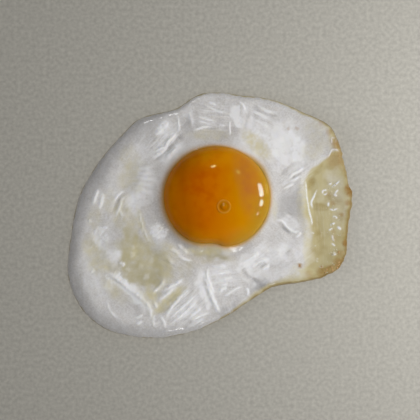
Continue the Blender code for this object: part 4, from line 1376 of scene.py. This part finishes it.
def crumb_places(chance):
    """Crumbs round the spots where the rim browned."""
    count = CRUMBS_A_SPOT * len(CRUMB_SPOTS)
    x, y = np.repeat(np.array(CRUMB_SPOTS), CRUMBS_A_SPOT, axis=0).T * MM
    x = x + chance.normal(0, CRUMB_SPREAD, count) * MM
    y = y + chance.normal(0, CRUMB_SPREAD, count) * MM
    turns = np.arctan2(y, x)
    reach = np.minimum(np.hypot(x, y), round_the_egg(WHITE_OUTLINE, turns) - CRUMB_INSET)
    size = chance.uniform(*CRUMB_SIZE, count) * MM
    length = size * chance.uniform(1, 1.8, count)
    turn = chance.uniform(0, math.pi, count)
    return reach * np.cos(turns), reach * np.sin(turns), length, size, turn


# %% [markdown]
# A bead is clear fat over the golden strip, so it takes a pale tint of it and a mirror-like
# surface. A crumb is a scrap of the white fried through: brown, and rough.

# %% Make the beads and crumbs
BEAD_PALE = "#E2D9B8"
CRUMB_BROWN = "#D8B07A"


def mottled(tree, code, scale, detail, darkest, lightest):
    """One colour, shaded unevenly by noise between two shares of it."""
    place = add(tree, "ShaderNodeTexCoord").outputs["Object"]
    patch = add(tree, "ShaderNodeTexNoise", inputs={
        "Vector": place, "Scale": scale, "Detail": detail}).outputs[0]
    shade = add(tree, "ShaderNodeMapRange", inputs={
        "Value": patch, "From Min": 0.3, "From Max": 0.7, "To Min": darkest, "To Max": lightest}).outputs[0]
    return add(tree, "ShaderNodeVectorMath", {"operation": "SCALE"}, {
        0: colour(code)[:3], 3: shade}).outputs[0]


def bead_finish(name, code, roughness, coat):
    """A small bead: its colour shifts a little from bead to bead."""
    material, tree, shader = new_material(name, {
        "Roughness": roughness, "Coat Weight": coat, "Coat Roughness": 0.04})
    tree.links.new(mottled(tree, code, 500.0, 2.0, 0.8, 1.0), shader.inputs["Base Color"])
    return material


chance = np.random.default_rng(7)
beads = bead_tree()
fat_beads = mesh_from_tree("fat_beads", beads, {
    "Flatness": 1.0,
    "Unevenness": 0.2,
    "Seed": 3,
    "Finish": bead_finish("clear_fat_bead", BEAD_PALE, 0.2, 1.0),
}, bead_points("bead_places", *bead_places(chance)))
rim_crumbs = mesh_from_tree("rim_crumbs", beads, {
    "Flatness": 1.0,
    "Unevenness": 0.3,
    "Seed": 5,
    "Finish": bead_finish("fried_crumb", CRUMB_BROWN, 0.5, 0.3),
}, bead_points("crumb_places", *crumb_places(chance)))
for piece in (fat_beads, rim_crumbs):
    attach(piece, "root")

# %% [markdown]
# ## Floor and light
#
# The egg lies on a plain pale floor. A fried egg is read by its highlights, and each highlight is
# the mirror image of a light, so the lights are made as windows: small, bright and square, to the
# right of the egg and low, where the yolk's shoulder can mirror them. Smaller windows all round
# pick out the folds that run the other way. A weak soft light on the left and a pale sky fill the
# shadows. Each light is linked to what it is for: the yolk, its bubble, the white, the whole egg or the
# floor. The main light on the floor casts no shadow. Two weaker ones do, so that the egg has the
# faint shadow of a soft room.

# %% Floor
FLOOR_COLOUR = "#BDBAB1"
FLOOR_HALF = 3.0
FLOOR_DROP = 0.02 * MM


def floor_material():
    """A matt painted board with a slight grain, so that the ground isn't one flat tone."""
    material, tree, shader = new_material("matt_painted_board", {"Roughness": 0.9, "Specular IOR Level": 0.2})
    tree.links.new(mottled(tree, FLOOR_COLOUR, 700.0, 4.0, 0.88, 1.12), shader.inputs["Base Color"])
    return material


def make_floor():
    mesh = bpy.data.meshes.new("floor")
    corners = [(a * FLOOR_HALF, b * FLOOR_HALF, 0) for a, b in ((-1, -1), (1, -1), (1, 1), (-1, 1))]
    mesh.from_pydata(corners, [], [(0, 1, 2, 3)])
    mesh.materials.append(floor_material())
    floor = bpy.data.objects.new("floor", mesh)
    floor.location.z = -FLOOR_DROP
    bpy.context.scene.collection.objects.link(floor)
    return floor


floor = make_floor()

# %% Lights
WINDOWS = [  # name, bearing, elevation, distance, width, height, brightness, colour, what it lights
    ("window_upper_pane", 9.6, 15.5, 0.50, 0.14, 0.165, 46, "#E6FBFF", "yolk"),
    ("window_lower_pane", -8.4, 14.5, 0.50, 0.07, 0.12, 46, "#E6FBFF", "yolk"),
    ("window_corner", -23.5, 17, 0.50, 0.03, 0.03, 55, "#E6FBFF", "yolk"),
    ("north_lamp", 97, 53, 0.60, 0.045, 0.022, 100, "#F2FFC0", "yolk"),
    ("bubble_lamp", 80, 62, 0.40, 0.08, 0.15, 120, "#FFFAF0", "bubble"),
    ("fold_light_north", 110, 40, 0.60, 0.07, 0.06, 21, "#FFFFFF", "white"),
    ("fold_light_south", -75, 40, 0.60, 0.07, 0.06, 19, "#FFFFFF", "white"),
    ("soft_fill_west", 205, 28, 0.40, 0.25, 0.25, 0.42, "#FFFFFF", "set white"),
    ("soft_box", -6, 42, 0.38, 0.30, 0.30, 3.82, "#FFFFFF", "egg"),
    ("floor_wash", 0, 36, 0.30, 0.16, 0.16, 8.8, "#FFFFFF", "floor"),
    ("floor_near_shade", 0, 60, 1.0, 0.5, 0.5, 0.3, "#FFFFFF", "floor under the egg"),
    ("floor_far_shade", 183, 16, 1.6, 0.9, 0.6, 4.0, "#FFFFFF", "floor under the egg"),
]
AIM_HEIGHT = 8 * MM
SKY_STRENGTH = 0.2
SKY_COLOUR = (1, 0.99, 0.97, 1)


def place_window(name, bearing, elevation, distance, width, height, brightness, code, lights):
    """A bright rectangle that faces the yolk. Brightness is the radiance that a highlight mirrors."""
    light = bpy.data.lights.new(name, "AREA")
    light.shape = "RECTANGLE"
    light.size = width
    light.size_y = height
    light.energy = brightness * math.pi * width * height
    light.color = colour(code)[:3]
    lamp = bpy.data.objects.new(name, light)
    turn = math.radians(bearing)
    rise = math.radians(elevation)
    away = Vector((math.cos(rise) * math.cos(turn), math.cos(rise) * math.sin(turn), math.sin(rise)))
    lamp.location = Vector((*yolk_middle, AIM_HEIGHT)) + away * distance
    lamp.rotation_euler = away.to_track_quat("Z", "Y").to_euler()
    lamp.visible_glossy = lights in ("yolk", "bubble", "white")
    lamp.visible_diffuse = lights not in ("yolk", "bubble")
    lamp.light_linking.receiver_collection = lit_alone[lights]
    if lights == "floor":
        lamp.light_linking.blocker_collection = lit_alone["floor"]
    bpy.context.scene.collection.objects.link(lamp)


lit_alone = {}
lit_pieces = {
    "white": [white_piece, fat_beads],
    "set white": [white_piece],
    "yolk": [yolk],
    "bubble": [bubble],
    "egg": [white_piece, fat_beads, rim_crumbs, yolk, bubble],
    "floor": [floor],
    "floor under the egg": [floor],
}
for name, pieces in lit_pieces.items():
    lit_alone[name] = bpy.data.collections.new("lights_on_" + name)
    for piece in pieces:
        lit_alone[name].objects.link(piece)
for window in WINDOWS:
    place_window(*window)

world = bpy.data.worlds.new("pale_sky")
world.use_nodes = True
world.node_tree.nodes["Background"].inputs["Color"].default_value = SKY_COLOUR
world.node_tree.nodes["Background"].inputs["Strength"].default_value = SKY_STRENGTH
world.cycles_visibility.glossy = False
bpy.context.scene.world = world
bpy.context.scene.view_settings.view_transform = "Standard"

# %% [markdown]
# ## Finish
#
# The last step prints the box of the solids.

# %% Size of the solids
print("box of the solids:", cad_box)
